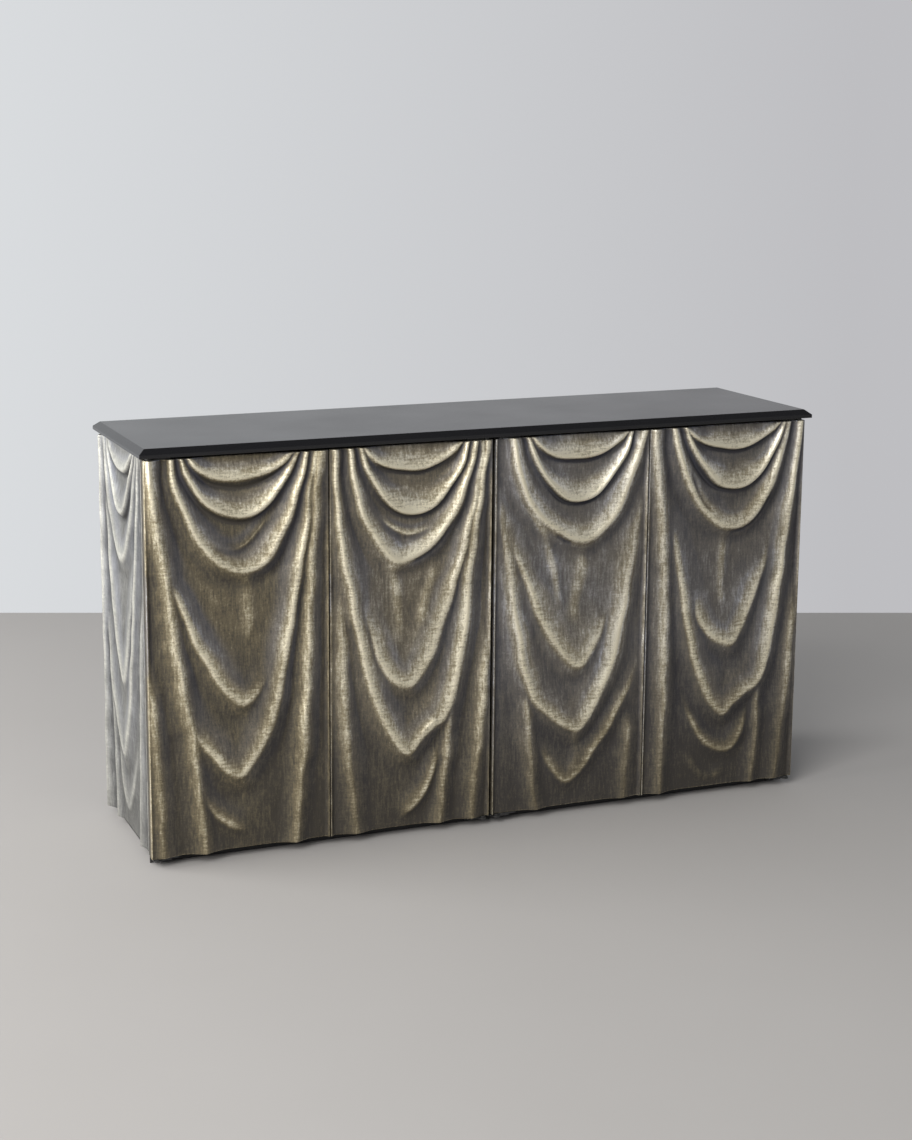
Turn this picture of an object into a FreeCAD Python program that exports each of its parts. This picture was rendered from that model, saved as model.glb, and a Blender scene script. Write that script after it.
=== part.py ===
import FreeCAD, Part
import os

# A four-door console cabinet whose doors and ends wear pressed brass skins, draped like hung cloth.
# The frame has +X to the viewer's right, -Y to the front and +Z up, with the floor at zero.
# The origin is under the middle of the top slab. All lengths are millimetres.

# Overall size
cabinet_width = 1524.0
cabinet_depth = 406.0
cabinet_height = 870.0

# Top slab
slab_thickness = 18.0
slab_bevel_width = 13.0
slab_bevel_height = 10.5
slab_overhang = 11.0
slab_back_overhang = 24.0
shadow_gap = 6.0

# Carcass
board_thickness = 18.0
carcass_floor_clearance = 24.0
back_panel_thickness = 6.0
back_rebate_depth = 8.0
back_panel_play = 0.5
back_panel_lip = 2.0

# Plinth
plinth_front_recess = 38.0
plinth_side_recess = 18.0
plinth_back_recess = 30.0
plinth_rail_thickness = 40.0
glide_height = 2.0
glide_width = 26.0
glide_edge_distance = 20.0
glides_along_front = 4

# Doors
skin_floor_clearance = 22.0
door_board_thickness = 18.0
door_back_gap = 3.0
door_pair_gap = 3.0
door_centre_gap = 8.0
door_hinge_edge_relief = 4.0

# Pressed skins
skin_thickness = 1.2
skin_edge_level = 10.0
skin_relief_height = 20.5
door_skin_return = 20.0
side_skin_return = 10.0

# Pivot hinges
pin_radius = 3.0
pin_running_clearance = 0.05
pin_end_gap = 0.2
pin_edge_distance = 12.0
pin_face_distance = 5.5
leaf_thickness = 2.8
leaf_play = 0.4
leaf_length = 45.0
leaf_nose_radius = 5.5
leaf_back_distance = 3.0
bracket_thickness = 3.0
bracket_width = 30.0
bracket_nose_radius = 8.0
bracket_floor_gap = 1.0

# Push latches
latch_width = 14.0
latch_height = 14.0
latch_length = 70.0
latch_front_setback = 3.0
latch_edge_distance = 32.0
latch_ear_width = 8.0
latch_ear_thickness = 2.5
latch_ear_length = 22.0
plunger_radius = 4.0
plunger_running_clearance = 0.1
plunger_length = 46.0
plunger_room = 10.0
plunger_tip_gap = 0.3
strike_width = 16.0
strike_thickness = 1.0

# Shelves
shelf_height = 430.0
shelf_front_setback = 40.0
shelf_side_play = 1.0
shelf_back_play = 2.0
cleat_width = 15.0
cleat_height = 22.0
cleat_end_inset = 30.0

# Loose tenons
tenon_thickness = 6.0
tenon_width = 50.0
tenon_length = 30.0
tenon_side_depth = 12.0
tenon_end_inset = 30.0

# Crests of the draped folds, each from its left end on the top hem, down round the swag, to its right end.
# A point is the share of the panel's width from the left, then the share of its height from the top.
lip_crest_shares = [
    (0.22, 0), (0.27, 0.030), (0.37, 0.060), (0.51, 0.072),
    (0.65, 0.060), (0.76, 0.030), (0.82, 0),
]
second_crest_shares = [
    (0.19, 0), (0.24, 0.065), (0.34, 0.130), (0.51, 0.165),
    (0.68, 0.130), (0.79, 0.065), (0.85, 0),
]
third_crest_shares = [
    (0.13, 0), (0.21, 0.130), (0.34, 0.230), (0.55, 0.275),
    (0.72, 0.225), (0.82, 0.115), (0.89, 0),
]
fourth_crest_shares = [
    (0.07, 0), (0.12, 0.250), (0.27, 0.470), (0.51, 0.610),
    (0.66, 0.510), (0.80, 0.260), (0.92, 0),
]
fifth_crest_shares = [
    (0.02, 0), (0.09, 0.350), (0.20, 0.630), (0.50, 0.790),
    (0.71, 0.640), (0.86, 0.330), (0.965, 0),
]
edge_crest_shares = [
    (0, 0), (0.045, 0.480), (0.14, 0.780), (0.48, 0.900),
    (0.80, 0.780), (0.93, 0.480), (1, 0),
]
edge_valley_shares = [
    (0, 0.30), (0.02, 0.640), (0.09, 0.880), (0.48, 0.955),
    (0.87, 0.880), (0.965, 0.640), (1, 0.30),
]
bottom_hem_shares = [(0, 1), (0.07, 1), (0.20, 1), (0.45, 1), (0.70, 1), (0.90, 1), (1, 1)]
swag_crest_shares = [
    lip_crest_shares,
    second_crest_shares,
    third_crest_shares,
    fourth_crest_shares,
    fifth_crest_shares,
]

# Where the valley under each crest lies, as a share of the way to the next crest.
valley_place_shares = [0.22, 0.25, 0.30, 0.45, 0.50]

# The shoulder between a valley and a crest, as shares of the way up from the valley.
shoulder_place_share = 0.66
shoulder_level_share = 0.84

# How many flat facets a fold has between two neighbouring points of its line.
fold_steps = 3

# How far the cloth stands out, as shares of the relief height.
# A fold has a level at the hem, on its high side, on its low side and at its bottom.
pocket_hem_share = 0.30
lip_level_share = 0.90
crest_level_shares = [
    (0.50, 0.75, 0.90, 0.95),
    (0.70, 0.92, 1.00, 0.95),
    (0.75, 0.90, 0.90, 0.80),
    (0.80, 1.00, 0.95, 0.85),
]
valley_level_shares = [
    (0.30, 0.16, 0.10, 0.08),
    (0.35, 0.18, 0.12, 0.10),
    (0.40, 0.22, 0.18, 0.20),
    (0.40, 0.30, 0.22, 0.25),
    (0.45, 0.40, 0.30, 0.25),
]
edge_crest_level_shares = (0.85, 0.75, 0.65)
edge_valley_level_shares = (0.45, 0.35, 0.25)
bottom_hem_level_shares = (0.80, 0.30, 0.72, 0.32, 0.85)

# How each panel's swags hang a little lower, and to one side, as shares of the panel's height and width.
sag_shares = {
    "left_outer": (0.010, 0.015),
    "left_inner": (0.005, -0.025),
    "right_inner": (0.000, 0.030),
    "right_outer": (-0.010, 0.005),
    "left_side": (0.005, 0.010),
    "right_side": (-0.005, -0.010),
}

# Levels and planes that follow from the sizes above
half_width = cabinet_width / 2
half_depth = cabinet_depth / 2
slab_bottom = cabinet_height - slab_thickness
skin_top = slab_bottom - shadow_gap
skin_height = skin_top - skin_floor_clearance
corner_plane_side = half_width - slab_overhang
corner_plane_front = -half_depth + slab_overhang
side_board_outer = corner_plane_side - skin_edge_level
side_board_inner = side_board_outer - board_thickness
partition_half = board_thickness / 2
door_board_front = corner_plane_front + skin_edge_level
door_board_back = door_board_front + door_board_thickness
carcass_front = door_board_back + door_back_gap
carcass_back = half_depth - slab_back_overhang
inner_back = carcass_back - back_rebate_depth
bottom_board_top = carcass_floor_clearance + board_thickness
sub_top_bottom = slab_bottom - board_thickness
bay_middle = (side_board_inner + partition_half) / 2
pin_line = corner_plane_front + pin_face_distance
plinth_front = corner_plane_front + plinth_front_recess
plinth_back = carcass_back - plinth_back_recess
plinth_side = corner_plane_side - plinth_side_recess
upper_leaf_bottom = skin_top + leaf_thickness + leaf_play
door_leaf_bottom = skin_floor_clearance - leaf_thickness
bracket_top = door_leaf_bottom - leaf_play
bracket_bottom = bracket_top - bracket_thickness
plunger_height = sub_top_bottom - latch_height / 2
latch_front = carcass_front + latch_front_setback
plunger_tip = door_board_back + strike_thickness + plunger_tip_gap

# Each door's name, its left and right edges, and the direction from its pivot to its free edge.
doors = [
    ("left_outer", -corner_plane_side, -bay_middle - door_pair_gap / 2, 1),
    ("left_inner", -bay_middle + door_pair_gap / 2, -door_centre_gap / 2, -1),
    ("right_inner", door_centre_gap / 2, bay_middle - door_pair_gap / 2, 1),
    ("right_outer", bay_middle + door_pair_gap / 2, corner_plane_side, -1),
]


def box(x_range, y_range, z_range):
    """A box from its low and high sides along each axis."""
    size = [span[1] - span[0] for span in (x_range, y_range, z_range)]
    return Part.makeBox(*size, FreeCAD.Vector(x_range[0], y_range[0], z_range[0]))


def upright_cylinder(radius, x, y, z_range):
    """A cylinder standing along Z."""
    return Part.makeCylinder(radius, z_range[1] - z_range[0], FreeCAD.Vector(x, y, z_range[0]))


def cylinder_along(direction, radius, length, start):
    """A cylinder of one length from its start point along a direction."""
    return Part.makeCylinder(radius, length, start, direction)


def mirrored_across_middle(shape):
    """The same piece on the other side of the cabinet."""
    return shape.mirror(FreeCAD.Vector(0, 0, 0), FreeCAD.Vector(1, 0, 0))


def save(name, solids):
    """Write one node, a single solid or a group of them."""
    group = solids if isinstance(solids, list) else [solids]
    shape = group[0] if len(group) == 1 else Part.makeCompound(group)
    shape.exportStep("parts/" + name + ".step")
    print(name, len(shape.Solids), shape.isValid(), round(shape.Volume))


def top_slab():
    """The black top: a slab with a wide bevel round its upper edge."""
    bevel_bottom = cabinet_height - slab_bevel_height
    lower = box((-half_width, half_width), (-half_depth, half_depth), (slab_bottom, bevel_bottom))
    rims = []
    for inset, level in ((0, bevel_bottom), (slab_bevel_width, cabinet_height)):
        x = half_width - inset
        y = half_depth - inset
        corners = [(-x, -y), (x, -y), (x, y), (-x, y), (-x, -y)]
        rims.append(Part.makePolygon([FreeCAD.Vector(cx, cy, level) for cx, cy in corners]))
    bevel = Part.makeLoft(rims, True, True)
    return lower.fuse(bevel).removeSplitter()


def loose_tenons():
    """Flat tenons, glued in slots, that join the sub top and the bottom board to the side boards."""
    tenons = []
    x_range = (side_board_inner + tenon_side_depth - tenon_length, side_board_inner + tenon_side_depth)
    front = carcass_front + tenon_end_inset
    back = inner_back - tenon_end_inset
    for middle in (carcass_floor_clearance + board_thickness / 2, slab_bottom - board_thickness / 2):
        z_range = (middle - tenon_thickness / 2, middle + tenon_thickness / 2)
        for y_range in ((front, front + tenon_width), (back - tenon_width, back)):
            tenon = box(x_range, y_range, z_range)
            tenons.append(tenon)
            tenons.append(mirrored_across_middle(tenon))
    return tenons


def right_side_board(tenons):
    """The right end board, rebated for the back panel and slotted for the tenons."""
    z_range = (carcass_floor_clearance, slab_bottom)
    board = box((side_board_inner, side_board_outer), (carcass_front, carcass_back), z_range)
    rebate_x = (side_board_inner, side_board_inner + back_rebate_depth)
    rebate = box(rebate_x, (inner_back, carcass_back), z_range)
    return board.cut([rebate] + tenons)


def centre_partition():
    """The upright between the two bays."""
    return box((-partition_half, partition_half), (carcass_front, inner_back), (bottom_board_top, sub_top_bottom))


def bottom_board(tenons):
    """The cabinet's floor."""
    z_range = (carcass_floor_clearance, bottom_board_top)
    return box((-side_board_inner, side_board_inner), (carcass_front, inner_back), z_range).cut(tenons)


def sub_top(tenons):
    """The board under the slab."""
    z_range = (sub_top_bottom, slab_bottom)
    return box((-side_board_inner, side_board_inner), (carcass_front, inner_back), z_range).cut(tenons)


def right_back_panel():
    """The thin back of one bay, lying in the end board's rebate and on the partition's back edge."""
    x_range = (back_panel_play, side_board_inner + back_rebate_depth - back_panel_play)
    y_range = (inner_back, inner_back + back_panel_thickness)
    return box(x_range, y_range, (carcass_floor_clearance + back_panel_lip, slab_bottom - back_panel_lip))


def right_shelf():
    """The loose shelf of one bay, resting on its cleats."""
    x_range = (partition_half + shelf_side_play, side_board_inner - shelf_side_play)
    y_range = (carcass_front + shelf_front_setback, inner_back - shelf_back_play)
    return box(x_range, y_range, (shelf_height, shelf_height + board_thickness))


def right_shelf_cleats():
    """The two battens on the sides of a bay that carry its shelf."""
    y_range = (carcass_front + shelf_front_setback + cleat_end_inset, inner_back - cleat_end_inset)
    z_range = (shelf_height - cleat_height, shelf_height)
    inner = box((partition_half, partition_half + cleat_width), y_range, z_range)
    outer = box((side_board_inner - cleat_width, side_board_inner), y_range, z_range)
    return [inner, outer]


def plinth_rails():
    """The four recessed rails that the carcass stands on, as front, back, left and right."""
    levels = (glide_height, carcass_floor_clearance)
    inner_side = plinth_side - plinth_rail_thickness
    front = box((-plinth_side, plinth_side), (plinth_front, plinth_front + plinth_rail_thickness), levels)
    back = box((-plinth_side, plinth_side), (plinth_back - plinth_rail_thickness, plinth_back), levels)
    between = (plinth_front + plinth_rail_thickness, plinth_back - plinth_rail_thickness)
    right = box((inner_side, plinth_side), between, levels)
    return {"front": front, "back": back, "left": mirrored_across_middle(right), "right": right}


def plinth_glides():
    """Flat pads under the front and back rails."""
    glides = []
    reach = plinth_side - glide_edge_distance
    for y in (plinth_front + plinth_rail_thickness / 2, plinth_back - plinth_rail_thickness / 2):
        for index in range(glides_along_front):
            x = -reach + 2 * reach * index / (glides_along_front - 1)
            x_range = (x - glide_width / 2, x + glide_width / 2)
            glides.append(box(x_range, (y - glide_width / 2, y + glide_width / 2), (0, glide_height)))
    return glides


class ReliefSheet:
    """The folds of one panel, built in the panel's own frame.

    X runs from the panel's left edge, Z from its bottom edge, and the board's face is at Y zero with the
    cloth standing out towards -Y. An inset draws the edges in and lowers the cloth as much, which gives the
    inner face of the sheet metal, whose crests are not rounded.
    """

    def __init__(self, width, height, sag, inset):
        self.width = width
        self.height = height
        self.sag = sag
        self.inset = inset

    def point(self, across_share, down_share, level):
        """A point of the sheet from its shares of the panel and its level above the board."""
        x = min(max(across_share * self.width, self.inset), self.width - self.inset)
        z = min(max((1 - down_share) * self.height, self.inset), self.height - self.inset)
        return FreeCAD.Vector(x, self.inset - level, z)

    def sagged(self, shares):
        """A fold's shares, moved down and aside most where the fold hangs free of the hem and the edges."""
        down, aside = self.sag
        moved = []
        for across_share, down_share in shares:
            hang = 4 * down_share * (1 - down_share)
            swing = 4 * across_share * (1 - across_share)
            moved.append((across_share + aside * hang * swing, down_share + down * hang))
        return moved

    def fold(self, shares, levels):
        """One crest or valley: a smooth curve through its points, cut into equal steps of its parameter."""
        points = [self.point(across, down, level) for (across, down), level in zip(shares, levels)]
        spline = Part.BSplineCurve()
        spline.interpolate(Points=points, Parameters=[float(index) for index in range(len(points))])
        last = len(points) - 1
        return [spline.value(step / fold_steps) for step in range(last * fold_steps + 1)]

    def lip_level(self, down_share):
        """The level of the flat pocket behind the first swag, which leans out from the hem to its lip."""
        lowest = max(down for _, down in self.sagged(lip_crest_shares))
        climb = (lip_level_share - pocket_hem_share) * skin_relief_height
        reached = max(down_share, self.inset / self.height)
        return pocket_hem_share * skin_relief_height + climb * reached / lowest

    def folds(self):
        """All crests and valleys in turn, from the lip of the first swag out to the bottom hem."""
        crests = [self.sagged(shares) for shares in swag_crest_shares + [edge_crest_shares]]
        edge_share = skin_edge_level / skin_relief_height
        crest_levels = crest_level_shares + [(edge_share,) + edge_crest_level_shares]
        lines = [self.fold(crests[0], [self.lip_level(down) for _, down in crests[0]])]
        for index, (near, far) in enumerate(zip(crests[:-1], crests[1:])):
            place = valley_place_shares[index]
            valley = [between(inner, outer, place) for inner, outer in zip(near, far)]
            lines.append(self.fold(valley, spread_levels(valley_level_shares[index])))
            lines.append(self.fold(far, spread_levels(crest_levels[index])))
        valley_levels = spread_levels((edge_share,) + edge_valley_level_shares)
        lines.append(self.fold(self.sagged(edge_valley_shares), valley_levels))
        hem = [share * skin_relief_height for share in bottom_hem_level_shares]
        lines.append(self.fold(bottom_hem_shares, [skin_edge_level] + hem + [skin_edge_level]))
        return lines

    def rows(self):
        """The folds, with a shoulder beside each crest on the outer face, which rounds the crest."""
        folds = self.folds()
        if self.inset:
            return folds
        rows = [folds[0]]
        for index, (near, far) in enumerate(zip(folds[:-1], folds[1:])):
            near_is_crest = index % 2 == 0
            crest, valley = (near, far) if near_is_crest else (far, near)
            rows.append([shoulder_point(low, high) for low, high in zip(valley, crest)])
            rows.append(far)
        return rows

    def faces(self, back_depth):
        """The draped face and the four flat returns that run back from it, to one depth behind the board's face."""
        rows = self.rows()
        faces = [flat_face(rows[0])]
        for near, far in zip(rows[:-1], rows[1:]):
            for step in range(len(near) - 1):
                faces.append(flat_face([near[step], near[step + 1], far[step + 1]]))
                faces.append(flat_face([near[step], far[step + 1], far[step]]))
        on_hem = len([row for row in rows if row[0].z > self.height - self.inset - skin_thickness / 2])
        left = [row[0] for row in rows]
        right = [row[-1] for row in rows]
        top = left[on_hem - 1::-1] + right[:on_hem]
        for line in (top, left[on_hem - 1:], right[on_hem - 1:], rows[-1]):
            back = [FreeCAD.Vector(end.x, back_depth, end.z) for end in (line[-1], line[0])]
            faces.append(flat_face(line + back))
        return faces

    def back_outline(self, back_depth):
        """The rectangle that the returns end in."""
        low, high = self.inset, self.height - self.inset
        left, right = self.inset, self.width - self.inset
        corners = [(left, low), (right, low), (right, high), (left, high), (left, low)]
        return Part.makePolygon([FreeCAD.Vector(x, back_depth, z) for x, z in corners])


def flat_face(points):
    """A flat face inside a closed line of points."""
    return Part.Face(Part.makePolygon(points + [points[0]]))


def spread_levels(shares):
    """Seven levels along a fold from its shares at the hem, high side, low side and bottom."""
    hem, high, low, bottom = [share * skin_relief_height for share in shares]
    return [hem, high, low, bottom, low, high, hem]


def between(near, far, share):
    """The point that lies a share of the way from one point to another."""
    return tuple(a + share * (b - a) for a, b in zip(near, far))


def shoulder_point(valley, crest):
    """The point of a fold's rounded shoulder, near the crest in place and nearer still in level."""
    place = valley + (crest - valley) * shoulder_place_share
    return FreeCAD.Vector(place.x, valley.y + (crest.y - valley.y) * shoulder_level_share, place.z)


def closed_solid(faces):
    """One solid from the faces that enclose it."""
    shell = Part.makeCompound(faces)
    shell.sewShape()
    solid = Part.Solid(shell.Shells[0])
    if solid.Volume < 0:
        solid.reverse()
    return solid


def pressed_skin(width, height, sag, return_depth):
    """A thin draped skin with a return on all four sides, open at the back."""
    back_depth = return_depth - skin_edge_level
    outer = ReliefSheet(width, height, sag, 0)
    inner = ReliefSheet(width, height, sag, skin_thickness)
    rim = Part.Face(outer.back_outline(back_depth)).cut(Part.Face(inner.back_outline(back_depth)))
    return closed_solid(outer.faces(back_depth) + inner.faces(back_depth) + rim.Faces)


def door_skin(name, x_low, x_high):
    """The pressed skin of one door, in its place."""
    skin = pressed_skin(x_high - x_low, skin_height, sag_shares[name], door_skin_return)
    skin.translate(FreeCAD.Vector(x_low, door_board_front, skin_floor_clearance))
    return skin


def side_skin(name, side):
    """The pressed skin of one end of the cabinet, facing away from the middle."""
    skin = pressed_skin(carcass_back - carcass_front, skin_height, sag_shares[name], side_skin_return)
    skin.rotate(FreeCAD.Vector(0, 0, 0), FreeCAD.Vector(0, 0, 1), 90 * side)
    start = carcass_front if side > 0 else carcass_back
    skin.translate(FreeCAD.Vector(side * side_board_outer, start, skin_floor_clearance))
    return skin


def door_board(x_low, x_high, direction):
    """A door's core board, with the back corner at its pivot side taken off so that it clears the carcass."""
    hinge_x = x_low + skin_thickness if direction > 0 else x_high - skin_thickness
    free_x = x_high - skin_thickness if direction > 0 else x_low + skin_thickness
    outline = [
        (hinge_x, door_board_front),
        (free_x, door_board_front),
        (free_x, door_board_back),
        (hinge_x + direction * door_hinge_edge_relief, door_board_back),
        (hinge_x, door_board_back - door_hinge_edge_relief),
        (hinge_x, door_board_front),
    ]
    level = skin_floor_clearance + skin_thickness
    profile = Part.Face(Part.makePolygon([FreeCAD.Vector(x, y, level) for x, y in outline]))
    return profile.extrude(FreeCAD.Vector(0, 0, skin_height - 2 * skin_thickness))


def pin_place(x_low, x_high, direction):
    """The place of a door's pivot across the cabinet."""
    return x_low + pin_edge_distance if direction > 0 else x_high - pin_edge_distance


def leaf_plate(pin_x, direction, z_range):
    """A flat pivot leaf: a rounded nose round the pin and a tongue along the door's edge."""
    ends = sorted((pin_x - direction * leaf_nose_radius, pin_x + direction * leaf_length))
    tongue = box(ends, (pin_line, door_board_back - leaf_back_distance), z_range)
    return tongue.fuse(upright_cylinder(leaf_nose_radius, pin_x, pin_line, z_range)).removeSplitter()


def door_leaves(pin_x, direction):
    """The two leaves screwed on a door's top and bottom edges, bored for the pins."""
    leaves = []
    for z_range in ((skin_top, skin_top + leaf_thickness), (door_leaf_bottom, skin_floor_clearance)):
        bore = upright_cylinder(pin_radius + pin_running_clearance, pin_x, pin_line, z_range)
        leaves.append(leaf_plate(pin_x, direction, z_range).cut(bore))
    return leaves


def upper_pivot(pin_x, direction):
    """The leaf under the slab with its pin, which hangs down into the door's top leaf."""
    leaf = leaf_plate(pin_x, direction, (upper_leaf_bottom, slab_bottom))
    pin = upright_cylinder(pin_radius, pin_x, pin_line, (skin_top + pin_end_gap, slab_bottom))
    return leaf.fuse(pin).removeSplitter()


def lower_pivot(pin_x, direction):
    """The bracket on the plinth's front with its pin, which stands up into the door's bottom leaf."""
    ends = sorted((pin_x - direction * bracket_nose_radius, pin_x + direction * bracket_width))
    plate_y = (pin_line, plinth_front)
    plate = box(ends, plate_y, (bracket_bottom, bracket_top))
    nose = upright_cylinder(bracket_nose_radius, pin_x, pin_line, (bracket_bottom, bracket_top))
    leg_y = (plinth_front - bracket_thickness, plinth_front)
    leg = box(ends, leg_y, (glide_height + bracket_floor_gap, bracket_top))
    pin = upright_cylinder(pin_radius, pin_x, pin_line, (bracket_bottom, skin_floor_clearance - pin_end_gap))
    return plate.fuse([nose, leg, pin]).removeSplitter()


def latch_place(x_low, x_high, direction):
    """The place of a door's push latch, near its free edge."""
    return x_high - latch_edge_distance if direction > 0 else x_low + latch_edge_distance


def latch_housing(x):
    """A push latch's housing under the sub top, bored for its plunger, with two screw ears."""
    y_range = (latch_front, latch_front + latch_length)
    x_range = (x - latch_width / 2, x + latch_width / 2)
    body = box(x_range, y_range, (sub_top_bottom - latch_height, sub_top_bottom))
    ear_reach = latch_width / 2 + latch_ear_width
    ear_back = latch_front + latch_length
    ear_y = (ear_back - latch_ear_length, ear_back)
    ears = box((x - ear_reach, x + ear_reach), ear_y, (sub_top_bottom - latch_ear_thickness, sub_top_bottom))
    bore_length = plunger_tip + plunger_length + plunger_room - latch_front
    start = FreeCAD.Vector(x, latch_front, plunger_height)
    bore_radius = plunger_radius + plunger_running_clearance
    bore = cylinder_along(FreeCAD.Vector(0, 1, 0), bore_radius, bore_length, start)
    return body.fuse(ears).removeSplitter().cut(bore)


def latch_plunger(x):
    """The latch's plunger, whose tip stands just off the strike plate."""
    start = FreeCAD.Vector(x, plunger_tip, plunger_height)
    return cylinder_along(FreeCAD.Vector(0, 1, 0), plunger_radius, plunger_length, start)


def strike_plate(x):
    """The square steel plate on the door's back that the plunger pushes on."""
    y_range = (door_board_back, door_board_back + strike_thickness)
    z_range = (plunger_height - strike_width / 2, plunger_height + strike_width / 2)
    return box((x - strike_width / 2, x + strike_width / 2), y_range, z_range)


def build_carcass():
    """Everything that stays still apart from the pivots and latches."""
    tenons = loose_tenons()
    save("top_slab", top_slab())
    save("carcass_tenons", tenons)
    save("right_side_board", right_side_board(tenons))
    save("left_side_board", mirrored_across_middle(right_side_board(tenons)))
    save("centre_partition", centre_partition())
    save("bottom_board", bottom_board(tenons))
    save("sub_top", sub_top(tenons))
    save("right_back_panel", right_back_panel())
    save("left_back_panel", mirrored_across_middle(right_back_panel()))
    save("right_shelf", right_shelf())
    save("left_shelf", mirrored_across_middle(right_shelf()))
    save("right_shelf_cleats", right_shelf_cleats())
    save("left_shelf_cleats", [mirrored_across_middle(cleat) for cleat in right_shelf_cleats()])
    for place, rail in plinth_rails().items():
        save("plinth_" + place + "_rail", rail)
    save("plinth_glides", plinth_glides())
    save("left_side_skin", side_skin("left_side", -1))
    save("right_side_skin", side_skin("right_side", 1))


def build_doors():
    """The four doors with what hangs and opens them."""
    upper_pivots, lower_pivots, housings = [], [], []
    for name, x_low, x_high, direction in doors:
        pin_x = pin_place(x_low, x_high, direction)
        latch_x = latch_place(x_low, x_high, direction)
        save(name + "_door_board", door_board(x_low, x_high, direction))
        save(name + "_door_skin", door_skin(name, x_low, x_high))
        save(name + "_door_leaves", door_leaves(pin_x, direction))
        save(name + "_strike_plate", strike_plate(latch_x))
        save(name + "_latch_plunger", latch_plunger(latch_x))
        upper_pivots.append(upper_pivot(pin_x, direction))
        lower_pivots.append(lower_pivot(pin_x, direction))
        housings.append(latch_housing(latch_x))
    save("upper_pivots", upper_pivots)
    save("lower_pivots", lower_pivots)
    save("latch_housings", housings)


os.makedirs("parts", exist_ok=True)
build_carcass()
build_doors()
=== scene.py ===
"""Dresses the console cabinet: draped brass doors and ends, black slab, dark carcass and its small hardware.

All lengths are metres in the part's own frame, with -Y to the front and +Z up.
"""

import logging
import math
from dataclasses import dataclass, field, replace
from enum import Enum
from typing import Sequence, Union

import bmesh
import bpy
import numpy as np
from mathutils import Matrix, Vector


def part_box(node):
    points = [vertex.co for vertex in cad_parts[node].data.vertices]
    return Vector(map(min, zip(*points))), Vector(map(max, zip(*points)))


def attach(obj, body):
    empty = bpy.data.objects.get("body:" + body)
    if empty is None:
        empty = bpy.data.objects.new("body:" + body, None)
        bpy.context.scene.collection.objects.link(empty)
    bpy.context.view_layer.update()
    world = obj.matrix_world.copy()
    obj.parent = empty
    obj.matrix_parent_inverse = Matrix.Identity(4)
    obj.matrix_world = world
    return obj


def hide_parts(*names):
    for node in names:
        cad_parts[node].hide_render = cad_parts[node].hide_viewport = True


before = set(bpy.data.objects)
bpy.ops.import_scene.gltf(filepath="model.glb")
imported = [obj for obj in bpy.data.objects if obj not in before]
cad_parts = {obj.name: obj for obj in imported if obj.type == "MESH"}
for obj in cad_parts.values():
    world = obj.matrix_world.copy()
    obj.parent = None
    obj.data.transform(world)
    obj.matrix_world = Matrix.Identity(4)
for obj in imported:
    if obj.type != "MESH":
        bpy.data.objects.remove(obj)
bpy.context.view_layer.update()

MILLIMETRE = 0.001
PANEL_PARTS = 1000
NOISE_MIDDLE = 0.5
SOFT_DETAIL = (2.0, 0.5)
TINY = 1e-12
LOG = logging.getLogger("console cabinet")

Colour = tuple[float, float, float]
Place = tuple[float, float, float]
Waves = tuple[float, float, float]
Point = tuple[int, int]
Socket = bpy.types.NodeSocket
Outputs = bpy.types.bpy_prop_collection


# Shader nodes written as expressions


class Wire:
    """One output socket of a node, which can be added, multiplied and so on."""

    def __init__(self, sheet: "NodeSheet", socket: Socket) -> None:
        """Keeps the sheet that the socket's node is on.

        Args:
            sheet: The node sheet that new nodes go on.
            socket: The output socket.
        """
        self.sheet = sheet
        self.socket = socket

    def __add__(self, other: "Number") -> "Wire":
        """The sum."""
        return self.sheet.math("ADD", self, other)

    def __radd__(self, other: "Number") -> "Wire":
        """The sum, with the wire on the right."""
        return self.sheet.math("ADD", other, self)

    def __sub__(self, other: "Number") -> "Wire":
        """The difference."""
        return self.sheet.math("SUBTRACT", self, other)

    def __rsub__(self, other: "Number") -> "Wire":
        """The difference, with the wire on the right."""
        return self.sheet.math("SUBTRACT", other, self)

    def __mul__(self, other: "Number") -> "Wire":
        """The product."""
        return self.sheet.math("MULTIPLY", self, other)

    def __rmul__(self, other: "Number") -> "Wire":
        """The product, with the wire on the right."""
        return self.sheet.math("MULTIPLY", other, self)

    def clamped(self) -> "Wire":
        """The value held between zero and one."""
        return self.sheet.node("ShaderNodeClamp", {}, {0: self})


Number = Union[Wire, float]


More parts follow.
